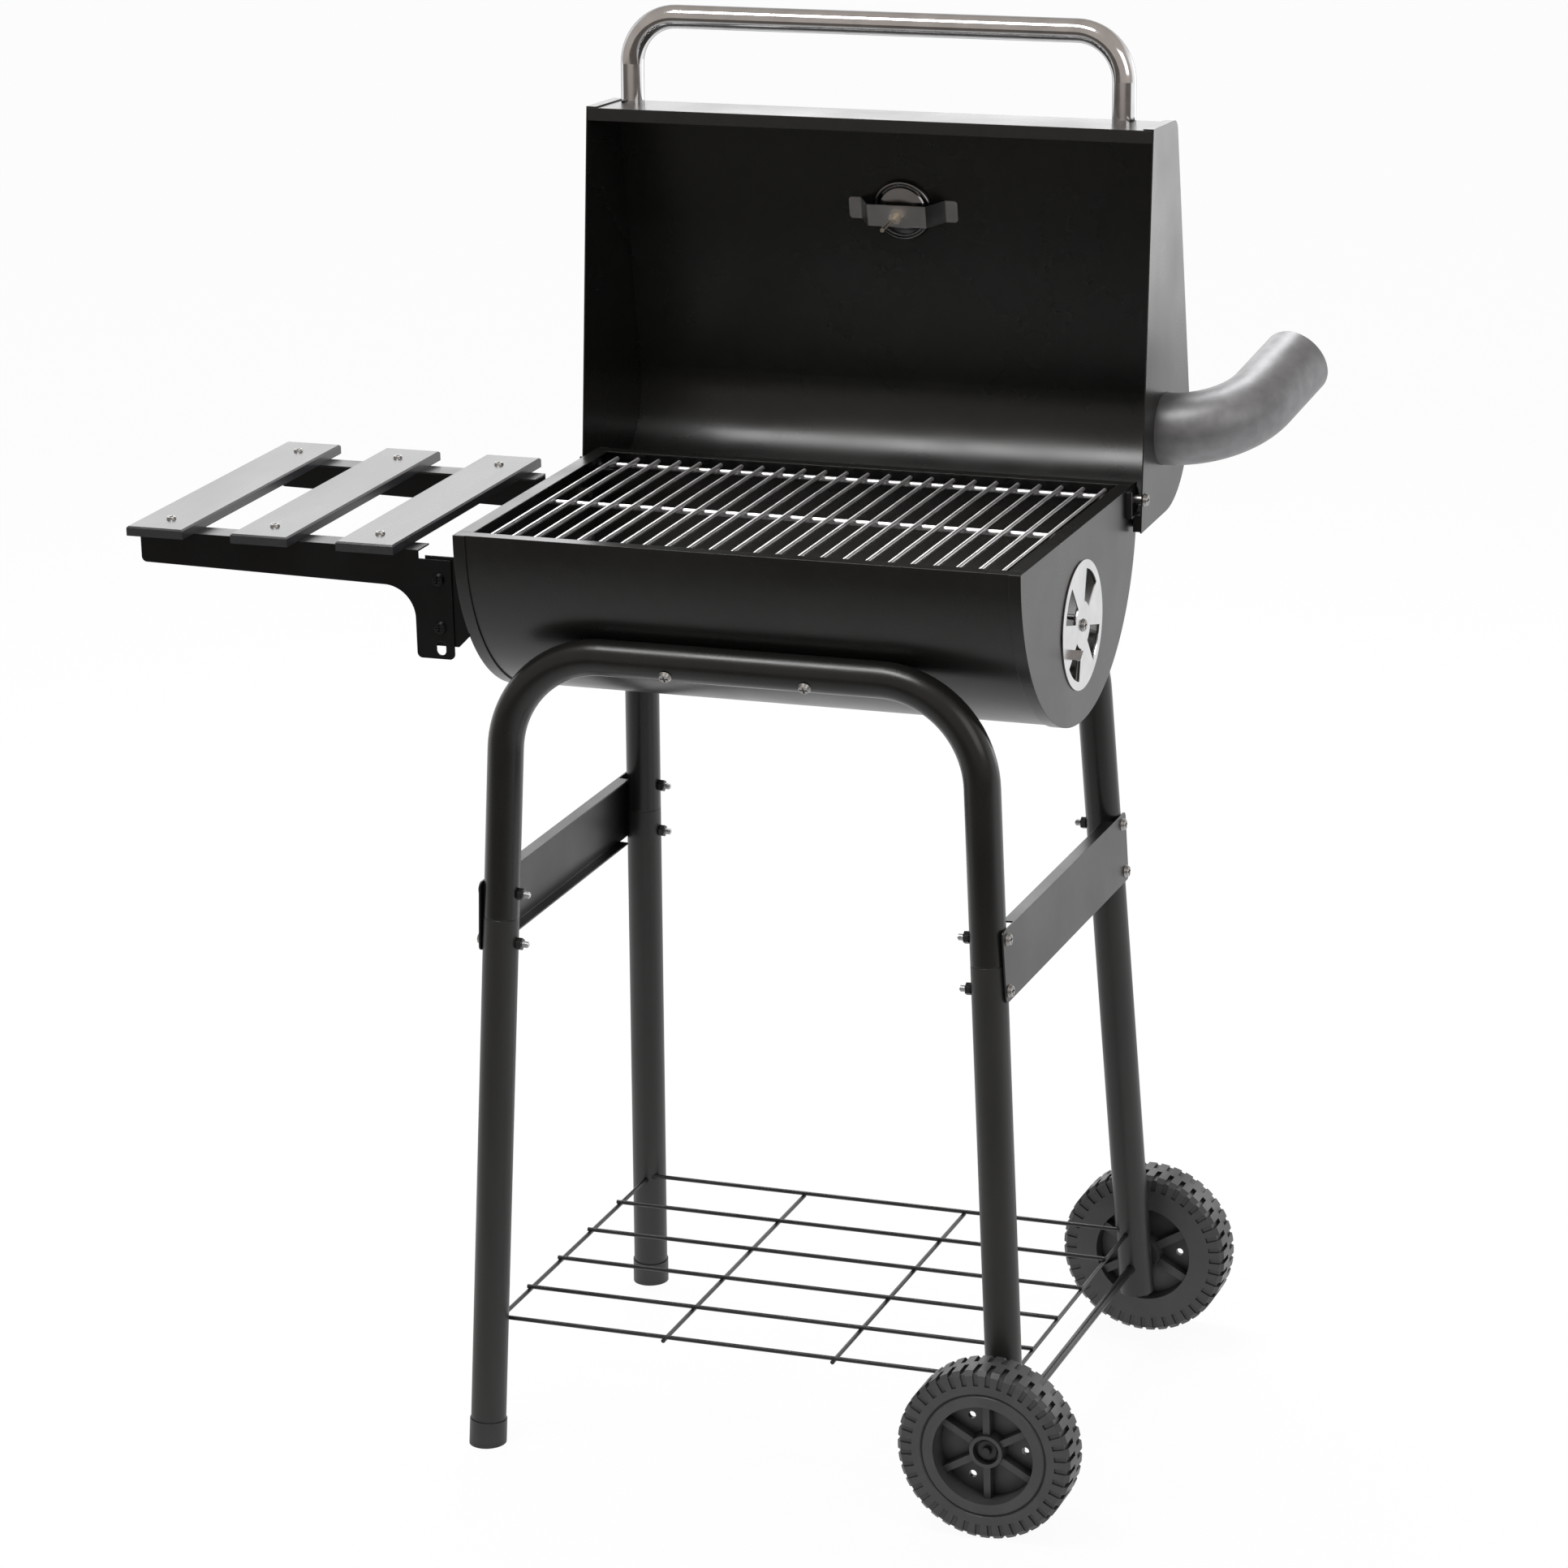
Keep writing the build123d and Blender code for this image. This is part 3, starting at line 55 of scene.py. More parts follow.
NODES = frame["nodes"]
JOINTS = {joint["name"]: joint for joint in frame["joints"]}
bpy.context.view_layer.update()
MM = 0.001
SHELL_NODES = (
    "firebox_barrel", "firebox_end_left", "firebox_end_right",
    "lid_shell", "lid_end_left", "lid_end_right",
)
FRAME_NODES = ("front_frame", "rear_frame")
LEG_NODES = ("leg_front_left", "leg_rear_left", "leg_front_right", "leg_rear_right")
PLATE_NODES = ("brace_left", "brace_right", "hinge_plates", "grate_rests")
ARM_NODES = (
    "shelf_bracket_front", "shelf_bracket_rear", "shelf_arm_front", "shelf_arm_rear", "arm_bolts",
)
BLACK_WIRE_NODES = ("lower_shelf", "axle", "wheel_spacers", "axle_retainers", "brace_nuts")
FASTENER_NODES = (
    "hinge_bolts", "hinge_nuts", "hinge_spacers", "handle_screws", "brace_bolts", "frame_bolts",
    "frame_nuts", "slat_screws", "bracket_bolts", "vent_rivet",
)
SLAT_NODES = ("slat_inner", "slat_middle", "slat_outer")

WHITE = (1, 1, 1)

# How a pattern is drawn out along X, Y and Z: a small number makes it long
EVEN = (1, 1, 1)
ALONG_TUBE = (1, 1, 0.15)
ALONG_SLAT = (1, 0.03, 1)

# Paint that is set for one group of pieces only
# Near-black on the ends of the tubes: painted shade in the gaps where one tube meets the next, spread wider
# than a worn edge
SEAM_SHADE = (0.0015, 0.0015, 0.0015)
SEAM_SPREAD = 2.2
PLAIN_SPECULAR = 0.5
CHIMNEY_ROUGHNESS = 0.46
CHIMNEY_METALLIC = 0.75
PLATE_ROUGHNESS = 0.34
ARM_ROUGHNESS = 0.30
ARM_SPECULAR = 0.45
SLAT_SPECULAR = 0.7
WHEEL_ROUGHNESS = 0.40
FOOT_ROUGHNESS = 0.44

# Plated metal: roughness, smudge, width of the grain and how it is drawn out
PLATED_SHEENS = {
    "chrome_wire": (0.28, 0.03, None, EVEN),
    "coal_wire": (0.42, 0.12, 1.5 * MM, EVEN),
    "chrome_tube": (0.07, 0.05, None, EVEN),
    "vent_sheet": (0.16, 0.10, 2 * MM, (1, 1, 0.05)),
    "zinc": (0.24, 0.14, 1 * MM, EVEN),
    "gauge_chrome": (0.10, 0.08, None, EVEN),
    "clip_steel": (0.30, 0.12, 1.2 * MM, (1, 1, 0.1)),
    "nickel": (0.22, 0.10, 0.8 * MM, EVEN),
}
ROD_ANISOTROPY = 0.95
HANDLE_TINT = (0.45, 0.45, 0.46, 1)
# Painted shade: the thermometer case's chrome is darkened as if shaded by the lid that shelters it
CASE_PAINTED_SHADE = 0.28
CLIP_SHADE = 0.55

# Bolt thread: its depth as a share of the pitch, and the tip as a share of the rod
THREAD_SIDES = 20
THREAD_DEPTH = 0.6
TIP_TAPER = 0.75
END_DEPTH = 1.5 * MM
RIM_DEPTH = 0.1 * MM

# Dial print: radii as shares of the dial's rim
SCALE_RADIUS = 0.90
LONG_STROKE_START = 0.74
SHORT_STROKE_START = 0.81
FIGURE_RADIUS = 0.60
ARC_STEPS = 72
ARC_WIDTH = 0.4 * MM
LONG_STROKE_WIDTH = 0.7 * MM
SHORT_STROKE_WIDTH = 0.35 * MM
FIGURE_HEIGHT = 4.2 * MM
PRINT_HEIGHT = 0.08 * MM
POINTER_REDS = ((0.50, 0.02, 0.02), (0.60, 0.03, 0.03))
GLASS_IOR = 1.45

# Lamps: place, aim, width and height in metres, and watts
LAMPS = {
    "back_softbox": ((-1.1, 2.9, 1.95), (0, 0, 0.9), (2.6, 1.2), 17),
    "side_softbox": ((1.5, 2.5, 1.05), (0.1, 0, 0.9), (1.4, 1.2), 8),
    "top_softbox": ((-0.50, 0.85, 2.9), (0, 0, 0.8), (1.6, 0.6), 52),
    "front_softbox": ((-0.30, -0.95, 2.9), (0, 0, 0.8), (1.4, 0.6), 34),
    "key_softbox": ((2.6, -1.5, 2.2), (0.2, 0, 0.8), (1.6, 1.6), 12),
}
LAMPS_OFF_HANDLE = ("back_softbox", "top_softbox")
FLOOR_WIDTH = 30
FLOOR_DROP = 0.5 * MM
FLOOR_GLOW = 0.95
SENSOR_WIDTH = 36


class PaintSettings(PropertyGroup):
    """Painted and powder-coated steel"""

    shell_colour: FloatVectorProperty(
        name="Shell colour", description="Heat-proof paint on firebox and lid",
        subtype="COLOR", size=3, min=0, max=1, default=(0.0075, 0.0073, 0.0067),
    )
    shell_roughness: FloatProperty(
        name="Shell roughness", description="Satin of the heat-proof paint", subtype="FACTOR",
        min=0, max=1, default=0.28,
    )
    chimney_colour: FloatVectorProperty(
        name="Chimney colour", description="Duller heat-proof paint on the smoke elbow",
        subtype="COLOR", size=3, min=0, max=1, default=(0.230, 0.230, 0.238),
    )
    frame_colour: FloatVectorProperty(
        name="Frame colour", description="Satin powder coat on the upper tubes",
        subtype="COLOR", size=3, min=0, max=1, default=(0.0080, 0.0078, 0.0072),
    )
    frame_roughness: FloatProperty(
        name="Frame roughness", description="Satin of the upper tubes", subtype="FACTOR",
        min=0, max=1, default=0.27,
    )
    leg_colour: FloatVectorProperty(
        name="Leg colour", description="Duller powder coat on the lower tubes",
        subtype="COLOR", size=3, min=0, max=1, default=(0.0150, 0.0147, 0.0138),
    )
    leg_roughness: FloatProperty(
        name="Leg roughness", description="Satin of the lower tubes", subtype="FACTOR",
        min=0, max=1, default=0.40,
    )
    plate_colour: FloatVectorProperty(
        name="Plate colour", description="Powder coat on braces and wires",
        subtype="COLOR", size=3, min=0, max=1, default=(0.011, 0.011, 0.0115),
    )
    arm_colour: FloatVectorProperty(
        name="Arm colour", description="Deep black coat on shelf arms and brackets",
        subtype="COLOR", size=3, min=0, max=1, default=(0.0026, 0.0026, 0.0028),
    )
    orange_peel: FloatProperty(
        name="Orange peel", description="Width of the ripple in the paint", subtype="DISTANCE", unit="LENGTH",
        min=0.0001, max=0.02, default=1.6 * MM,
    )
    edge_width: FloatProperty(
        name="Edge width", description="Width of the softened, worn edges", subtype="DISTANCE", unit="LENGTH",
        min=0.0001, max=0.01, default=0.9 * MM,
    )
    worn_colour: FloatVectorProperty(
        name="Worn colour", description="Thin, rubbed paint along edges",
        subtype="COLOR", size=3, min=0, max=1, default=(0.030, 0.029, 0.0275),
    )


class PlatingSettings(PropertyGroup):
    """Chrome, zinc and bare steel"""

    chrome_colour: FloatVectorProperty(
        name="Chrome colour", description="Handle, cooking grate and thermometer case",
        subtype="COLOR", size=3, min=0, max=1, default=(0.80, 0.80, 0.81),
    )
    zinc_colour: FloatVectorProperty(
        name="Zinc colour", description="Bolts, nuts and screws",
        subtype="COLOR", size=3, min=0, max=1, default=(0.36, 0.355, 0.345),
    )
    nickel_colour: FloatVectorProperty(
        name="Nickel colour", description="Thermometer nut and stem",
        subtype="COLOR", size=3, min=0, max=1, default=(0.90, 0.84, 0.73),
    )
    vent_colour: FloatVectorProperty(
        name="Vent colour", description="Bright sheet of the vent disc",
        subtype="COLOR", size=3, min=0, max=1, default=(0.66, 0.66, 0.67),
    )
    thread_length: FloatProperty(
        name="Thread length", description="Bolt end that stands out of a brace nut", subtype="DISTANCE",
        unit="LENGTH", min=0.001, default=6.5 * MM,
    )
    thread_pitch: FloatProperty(
        name="Thread pitch", description="Step of the bolt thread", subtype="DISTANCE", unit="LENGTH",
        min=0.0003, default=1.0 * MM,
    )
    coal_colour: FloatVectorProperty(
        name="Charcoal grate colour", description="Dull wire of the charcoal grate",
        subtype="COLOR", size=3, min=0, max=1, default=(0.20, 0.20, 0.20),
    )


class MouldingSettings(PropertyGroup):
    """Moulded plastic and painted slats"""

    wheel_colour: FloatVectorProperty(
        name="Wheel colour", description="Moulded plastic of the wheels",
        subtype="COLOR", size=3, min=0, max=1, default=(0.046, 0.046, 0.048),
    )
    foot_colour: FloatVectorProperty(
        name="Foot colour", description="Moulded plastic of the foot caps",
        subtype="COLOR", size=3, min=0, max=1, default=(0.022, 0.022, 0.023),
    )
    slat_colour: FloatVectorProperty(
        name="Slat colour", description="Grey paint on the shelf slats",
        subtype="COLOR", size=3, min=0, max=1, default=(0.027, 0.028, 0.031),
    )


class DialSettings(PropertyGroup):
    """Printed thermometer dial"""

    face_colour: FloatVectorProperty(
        name="Face colour", description="White of the dial", subtype="COLOR", size=3, min=0, max=1,
        default=(0.80, 0.80, 0.77),
    )
    ink_colour: FloatVectorProperty(
        name="Ink colour", description="Print on the dial", subtype="COLOR", size=3, min=0, max=1,
        default=(0.015, 0.015, 0.015),
    )
    steps: IntProperty(name="Steps", description="Small divisions of the scale", min=9, max=54, default=36)
    figures: IntProperty(
        name="Figures", description="Numbered divisions of the scale", min=3, max=9, default=6,
    )
    figure_step: IntProperty(
        name="Figure step", description="Degrees Celsius between figures", min=10, default=50,
    )


class StageSettings(PropertyGroup):
    """Studio light, floor and camera"""

    target: FloatVectorProperty(
        name="Target", description="Point that the camera looks at", subtype="TRANSLATION", unit="LENGTH",
        default=(0.07382, -0.04313, 0.60334),
    )
    azimuth: FloatProperty(
        name="Azimuth", description="Turn of the camera to the right", subtype="ANGLE",
        default=math.radians(20.89),
    )
    elevation: FloatProperty(
        name="Elevation", description="Height of the camera as an angle", subtype="ANGLE",
        default=math.radians(17.245),
    )
    roll: FloatProperty(
        name="Roll", description="Tilt of the camera", subtype="ANGLE", default=math.radians(-1.469),
    )
    distance: FloatProperty(
        name="Distance", description="Camera to target", subtype="DISTANCE", unit="LENGTH", default=4.8778,
    )
    lens: FloatProperty(name="Lens", description="Focal length in millimetres", min=10, default=121.4)
    floor_colour: FloatVectorProperty(
        name="Floor colour", description="Pale floor", subtype="COLOR", size=3, min=0, max=1,
        default=(0.92, 0.92, 0.92),
    )
    fill: FloatProperty(
        name="Fill", description="Strength of the surroundings on matt surfaces", min=0, max=2, default=0.50,
    )
    dim_from: FloatProperty(
        name="Dim floor", description="Where the floor in front is dim in reflections", subtype="DISTANCE",
        unit="LENGTH", default=-2.2,
    )
    white_from: FloatProperty(
        name="White floor", description="Where the floor is white in reflections", subtype="DISTANCE",
        unit="LENGTH", default=0.2,
    )
    room_colour: FloatVectorProperty(
        name="Room colour", description="Dim room in front of the studio, seen only in reflections",
        subtype="COLOR", size=3, min=0, max=1, default=(0.40, 0.36, 0.33),
    )
    dim_colour: FloatVectorProperty(
        name="Dim floor colour", description="Floor in front of the studio, seen only in reflections",
        subtype="COLOR", size=3, min=0, max=1, default=(0.10, 0.088, 0.078),
    )


class GrillSettings(PropertyGroup):
    """All settings of the grill"""

    paint: PointerProperty(type=PaintSettings)
    plating: PointerProperty(type=PlatingSettings)
    moulding: PointerProperty(type=MouldingSettings)
    dial: PointerProperty(type=DialSettings)
    stage: PointerProperty(type=StageSettings)


def settings():
    """The scene's settings, by group."""
    return bpy.context.scene.grill


def new_finish(name):
    """A material and its tree and shader."""
    material = bpy.data.materials.new(name)
    material.use_nodes = True
    return material, material.node_tree, material.node_tree.nodes["Principled BSDF"]


def noise(tree, width, detail=3.0, stretch=EVEN):
    """A noise whose features are about that wide, in metres, drawn out along the axes."""
    place = tree.nodes.new("ShaderNodeTexCoord")
    mapping = tree.nodes.new("ShaderNodeMapping")
    mapping.inputs["Scale"].default_value = stretch
    pattern = tree.nodes.new("ShaderNodeTexNoise")
    pattern.inputs["Scale"].default_value = 1 / width
    pattern.inputs["Detail"].default_value = detail
    tree.links.new(place.outputs["Object"], mapping.inputs["Vector"])
    tree.links.new(mapping.outputs["Vector"], pattern.inputs["Vector"])
    return pattern.outputs["Fac"]


def between(tree, value, low, high, start=0.3, stop=0.7):
    """A value that runs from start to stop, spread between two numbers."""
    spread = tree.nodes.new("ShaderNodeMapRange")
    spread.inputs["From Min"].default_value = start
    spread.inputs["From Max"].default_value = stop
    spread.inputs["To Min"].default_value = low
    spread.inputs["To Max"].default_value = high
    tree.links.new(value, spread.inputs["Value"])
    return spread.outputs["Result"]


def tint(tree, value, low, high, start=0.3, stop=0.7):
    """A value that runs from start to stop, spread between two colours."""
    ramp = tree.nodes.new("ShaderNodeValToRGB")
    ramp.color_ramp.elements[0].position = start
    ramp.color_ramp.elements[1].position = stop
    ramp.color_ramp.elements[0].color = (*low, 1)
    ramp.color_ramp.elements[1].color = (*high, 1)
    tree.links.new(value, ramp.inputs["Fac"])
    return ramp.outputs["Color"]


def relief(tree, shader, value, depth, strength=1.0, normal=None):
    """A bump of that depth, in metres, on the shader's normal or on the one given."""
    bump = tree.nodes.new("ShaderNodeBump")
    if normal:
        tree.links.new(normal, bump.inputs["Normal"])
    bump.inputs["Strength"].default_value = strength
    bump.inputs["Distance"].default_value = depth
    tree.links.new(value, bump.inputs["Height"])
    tree.links.new(bump.outputs["Normal"], shader.inputs["Normal"])


def shade(colour, factor):
    """A colour made lighter or darker."""
    return tuple(min(1.0, channel * factor) for channel in colour)


def cover(piece, material):
    """Puts a material on one piece."""
    piece.data.materials.clear()
    piece.data.materials.append(material)


def coat(material, names):
    """Puts a material on CAD nodes."""
    for name in names:
        cover(NODES[name], material)


def soft_edges(tree, width):
    """The normal of edges rounded by that width, and how near each place is to an edge."""
    rounded = tree.nodes.new("ShaderNodeBevel")
    rounded.samples = 4
    rounded.inputs["Radius"].default_value = width
    flat = tree.nodes.new("ShaderNodeNewGeometry")
    match = tree.nodes.new("ShaderNodeVectorMath")
    match.operation = "DOT_PRODUCT"
    tree.links.new(rounded.outputs["Normal"], match.inputs[0])
    tree.links.new(flat.outputs["Normal"], match.inputs[1])
    nearness = between(tree, match.outputs["Value"], low=1.0, high=0.0, start=0.75, stop=0.98)
    return rounded.outputs["Normal"], nearness


def multiply(tree, first, second):
    """The product of two values."""
    product = tree.nodes.new("ShaderNodeMath")
    product.operation = "MULTIPLY"
    tree.links.new(first, product.inputs[0])
    tree.links.new(second, product.inputs[1])
    return product.outputs["Value"]


def blend_colours(tree, factor, first, second):
    """The second colour where the factor is one."""
    mix = tree.nodes.new("ShaderNodeMix")
    mix.data_type = "RGBA"
    tree.links.new(factor, mix.inputs["Factor"])
    tree.links.new(first, mix.inputs[6])
    mix.inputs[7].default_value = (*second, 1)
    return mix.outputs[2]


def worn_patches(tree, edge):
    """The parts of the edges where the paint is rubbed thin."""
    patches = between(tree, noise(tree, 30 * MM, 2.0), low=0.0, high=1.0, start=0.50, stop=0.70)
    return multiply(tree, edge, patches)


def satin_paint(
    name, colour, roughness, paint, scuffs=EVEN, seam_shade=None, specular=PLAIN_SPECULAR, metallic=0.0,
):
    """Satin paint on steel: ripple, cloudy sheen, faint marks, and rubbed edges or painted shade at the
    seams.
    """
    material, tree, shader = new_finish(name)
    shader.inputs["Specular IOR Level"].default_value = specular
    shader.inputs["Metallic"].default_value = metallic
    cloud = noise(tree, 90 * MM, 4.0)
    marks = noise(tree, 12 * MM, 6.0, scuffs)
    rounded, edge = soft_edges(tree, paint.edge_width * (SEAM_SPREAD if seam_shade else 1))
    # With a seam colour, the whole edge band is painted shade; otherwise patches of it are paint worn thin
    rubbed = edge if seam_shade else worn_patches(tree, edge)
    body = tint(tree, marks, shade(colour, 0.94), shade(colour, 1.18))
    tree.links.new(blend_colours(tree, rubbed, body, seam_shade or paint.worn_colour), shader.inputs["Base Color"])
    tree.links.new(between(tree, cloud, roughness - 0.04, roughness + 0.05), shader.inputs["Roughness"])
    peel = noise(tree, paint.orange_peel, 2.0)
    relief(tree, shader, peel, depth=0.01 * MM, strength=0.25, normal=rounded)
    return material


def plated_metal(name, colour):
    """Plated steel: smudged sheen, slight colour drift and, where the table has one, a drawn grain."""
    roughness, smudge, grain, stretch = PLATED_SHEENS[name]
    material, tree, shader = new_finish(name)
    shader.inputs["Metallic"].default_value = 1.0
    cloud = noise(tree, 22 * MM, 4.0)
    tree.links.new(tint(tree, cloud, shade(colour, 0.9), shade(colour, 1.06)), shader.inputs["Base Color"])
    tree.links.new(between(tree, cloud, roughness, roughness + smudge), shader.inputs["Roughness"])
    if grain:
        relief(tree, shader, noise(tree, grain, 2.0, stretch), depth=0.008 * MM)
    return material


def recess_shade_mask(tree, reach):
    """How strongly painted shade darkens each place, by how deep it lies between its neighbours within that
    reach, from 0 in the open.
    """
    shelter = tree.nodes.new("ShaderNodeAmbientOcclusion")
    shelter.samples = 8
    shelter.inputs["Distance"].default_value = reach
    return between(tree, shelter.outputs["AO"], low=0.8, high=0.0, start=0.25, stop=0.85)


def moulded_plastic(name, colour, roughness):
    """Moulded plastic with a fine eroded texture and painted shade darkening its recesses."""
    material, tree, shader = new_finish(name)
    shader.inputs["Specular IOR Level"].default_value = PLAIN_SPECULAR
    cloud = noise(tree, 30 * MM, 5.0)
    body = tint(tree, cloud, shade(colour, 0.85), shade(colour, 1.25))
    # Painted shade: the colour darkens in the spoke gaps, tread grooves and other recesses, where shadow
    # falls
    recess_shaded_body = blend_colours(tree, recess_shade_mask(tree, 14 * MM), body, shade(colour, 0.2))
    tree.links.new(recess_shaded_body, shader.inputs["Base Color"])
    tree.links.new(between(tree, cloud, roughness - 0.06, roughness + 0.08), shader.inputs["Roughness"])
    relief(tree, shader, noise(tree, 0.8 * MM, 3.0), depth=0.05 * MM, strength=0.6)
    return material


def printed_colour(name, width, low, high, roughness):
    """A flat colour that drifts slightly over patches of that width."""
    material, tree, shader = new_finish(name)
    tree.links.new(tint(tree, noise(tree, width), low, high), shader.inputs["Base Color"])
    shader.inputs["Roughness"].default_value = roughness
    return material


def deselect():
    """Nothing selected, in object mode."""
    if bpy.context.object and bpy.context.object.mode != "OBJECT":
        bpy.ops.object.mode_set(mode="OBJECT")
    bpy.ops.object.select_all(action="DESELECT")


def copy_of(pattern):
    """A copy of an object with its own mesh, selected and active."""
    deselect()
    pattern.select_set(True)
    bpy.context.view_layer.objects.active = pattern
    bpy.ops.object.duplicate(linked=False)
    return bpy.context.object


def join_pieces(pieces, name):
    """One object made of several, selected and active."""
    deselect()
    for piece in pieces:
        piece.select_set(True)
    bpy.context.view_layer.objects.active = pieces[0]
    bpy.ops.object.join()
    joined = bpy.context.object
    joined.name = name
    return joined


class GRILL_OT_paint_shell(Operator):
    """Satin heat-proof paint on firebox, lid and chimney"""

    bl_idname = "grill.paint_shell"
    bl_label = "Paint shell"

    def execute(self, context):
        paint = settings().paint
        coat(satin_paint("heat_paint", paint.shell_colour, paint.shell_roughness, paint), SHELL_NODES)
        elbow = satin_paint(
            "chimney_paint", paint.chimney_colour, CHIMNEY_ROUGHNESS, paint, metallic=CHIMNEY_METALLIC,
        )
        coat(elbow, ["chimney"])
        return {"FINISHED"}


class GRILL_OT_coat_stand(Operator):
    """Powder coat on tubes, plates and wires"""

    bl_idname = "grill.coat_stand"
    bl_label = "Coat stand"

    def execute(self, context):
        paint = settings().paint
        tubes = (
            ("frame_coat", paint.frame_colour, paint.frame_roughness, FRAME_NODES),
            ("leg_coat", paint.leg_colour, paint.leg_roughness, LEG_NODES),
        )
        for name, colour, roughness, nodes in tubes:
            # The tube ends carry painted shade at the seams between tubes
            coat(satin_paint(name, colour, roughness, paint, ALONG_TUBE, SEAM_SHADE), nodes)
        coat(satin_paint("plate_coat", paint.plate_colour, PLATE_ROUGHNESS, paint), PLATE_NODES)
        arm = satin_paint("arm_coat", paint.arm_colour, ARM_ROUGHNESS, paint, specular=ARM_SPECULAR)
        coat(arm, ARM_NODES)
        coat(satin_paint("wire_coat", paint.plate_colour, PLATE_ROUGHNESS, paint), BLACK_WIRE_NODES)
        return {"FINISHED"}


class GRILL_OT_plate_grates(Operator):
    """Chrome cooking grate and dull charcoal grate"""

    bl_idname = "grill.plate_grates"
    bl_label = "Plate grates"

    def execute(self, context):
        plating = settings().plating
        wire = plated_metal("chrome_wire", plating.chrome_colour)
        self.draw_lengthwise(wire)
        coat(wire, ["cooking_grate"])
        coat(plated_metal("coal_wire", plating.coal_colour), ["charcoal_grate"])
        return {"FINISHED"}

    def draw_lengthwise(self, material):
        """Spreads the sheen along the rods, which run from front to back."""
        tree = material.node_tree
        along = tree.nodes.new("ShaderNodeCombineXYZ")
        along.inputs["Y"].default_value = 1.0
        shader = tree.nodes["Principled BSDF"]
        shader.inputs["Anisotropic"].default_value = ROD_ANISOTROPY
        tree.links.new(along.outputs["Vector"], shader.inputs["Tangent"])


class GRILL_OT_plate_handle(Operator):
    """Polished handle tube and bright vent disc"""

    bl_idname = "grill.plate_handle"
    bl_label = "Plate handle and vent"

    def execute(self, context):
        plating = settings().plating
        tube = plated_metal("chrome_tube", plating.chrome_colour)
        tube.node_tree.nodes["Principled BSDF"].inputs["Specular Tint"].default_value = HANDLE_TINT
        coat(tube, ["lid_handle"])
        coat(plated_metal("vent_sheet", plating.vent_colour), ["vent_disc"])
        return {"FINISHED"}


class GRILL_OT_plate_fasteners(Operator):
    """Zinc on bolts, nuts and screws"""

    bl_idname = "grill.plate_fasteners"
    bl_label = "Plate fasteners"

    def execute(self, context):
        coat(plated_metal("zinc", settings().plating.zinc_colour), FASTENER_NODES)
        return {"FINISHED"}


class GRILL_OT_cut_threads(Operator):
    """Threaded ends that stand out of the brace nuts"""

    bl_idname = "grill.cut_threads"
    bl_label = "Cut bolt threads"

    def execute(self, context):
        plating = settings().plating
        ends = self.bolt_ends()
        pattern = self.threaded_end(ends[0][2], plating.thread_length, plating.thread_pitch)
        copies = []
        for centre, axis, _ in ends:
            copy = copy_of(pattern)
            copy.location = centre
            copy.rotation_euler = axis.to_track_quat("Z", "Y").to_euler()
            bpy.ops.object.transform_apply(location=True, rotation=True)
            copies.append(copy)
        bpy.data.objects.remove(pattern)
        threads = join_pieces(copies, "bolt_threads")
        cover(threads, bpy.data.materials["zinc"])
        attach(threads, "trolley")
        return {"FINISHED"}

    def bolt_ends(self):
        """Centre, outward axis and radius of each bolt's inner end."""
        low, high = (Vector(corner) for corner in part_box("brace_bolts"))
        middle = (low + high) / 2
        bolts = {}
        for vertex in NODES["brace_bolts"].data.vertices:
            side = tuple(vertex.co[axis] > middle[axis] for axis in range(3))
            bolts.setdefault(side, []).append(vertex.co.copy())
        ends = []
        for side in sorted(bolts):
            points = sorted(bolts[side], key=lambda point: abs(point.x - middle.x))
            inner = self.centre_of([point for point in points if abs(point.x - points[0].x) < END_DEPTH])
            outer = self.centre_of([point for point in points if abs(point.x - points[-1].x) < END_DEPTH])
            axis = (inner - outer).normalized()
            reach = max(point.dot(axis) for point in points)
            rim = [point for point in points if point.dot(axis) > reach - RIM_DEPTH]
            centre = self.centre_of(rim)
            ends.append((centre, axis, max((point - centre).length for point in rim)))
        return ends

    def centre_of(self, points):
        """The middle of the box round some points."""
        low = Vector(min(point[axis] for point in points) for axis in range(3))
        high = Vector(max(point[axis] for point in points) for axis in range(3))
        return (low + high) / 2

    def threaded_end(self, radius, length, pitch):
        """A short threaded rod along Z from the origin, with a chamfered tip."""
        root = radius - THREAD_DEPTH * pitch
        step = {"value": (0, 0, pitch / 2)}
        deselect()
        bpy.ops.mesh.primitive_cylinder_add(
            vertices=THREAD_SIDES, radius=root, depth=pitch / 2, location=(0, 0, pitch / 4),
        )
        bpy.ops.object.transform_apply(location=True)
        rod = bpy.context.object
        for face in rod.data.polygons:
            face.select = face.normal.z > 0.9
        bpy.ops.object.mode_set(mode="EDIT")
        bpy.ops.mesh.select_mode(type="FACE")
        for _ in range(round(length / pitch) - 1):
            for size in (radius / root, root / radius):
                bpy.ops.mesh.extrude_region_move(TRANSFORM_OT_translate=step)
                bpy.ops.transform.resize(value=(size, size, 1))
        bpy.ops.mesh.extrude_region_move(TRANSFORM_OT_translate=step)
        bpy.ops.transform.resize(value=(TIP_TAPER, TIP_TAPER, 1))
        bpy.ops.object.mode_set(mode="OBJECT")
        return rod


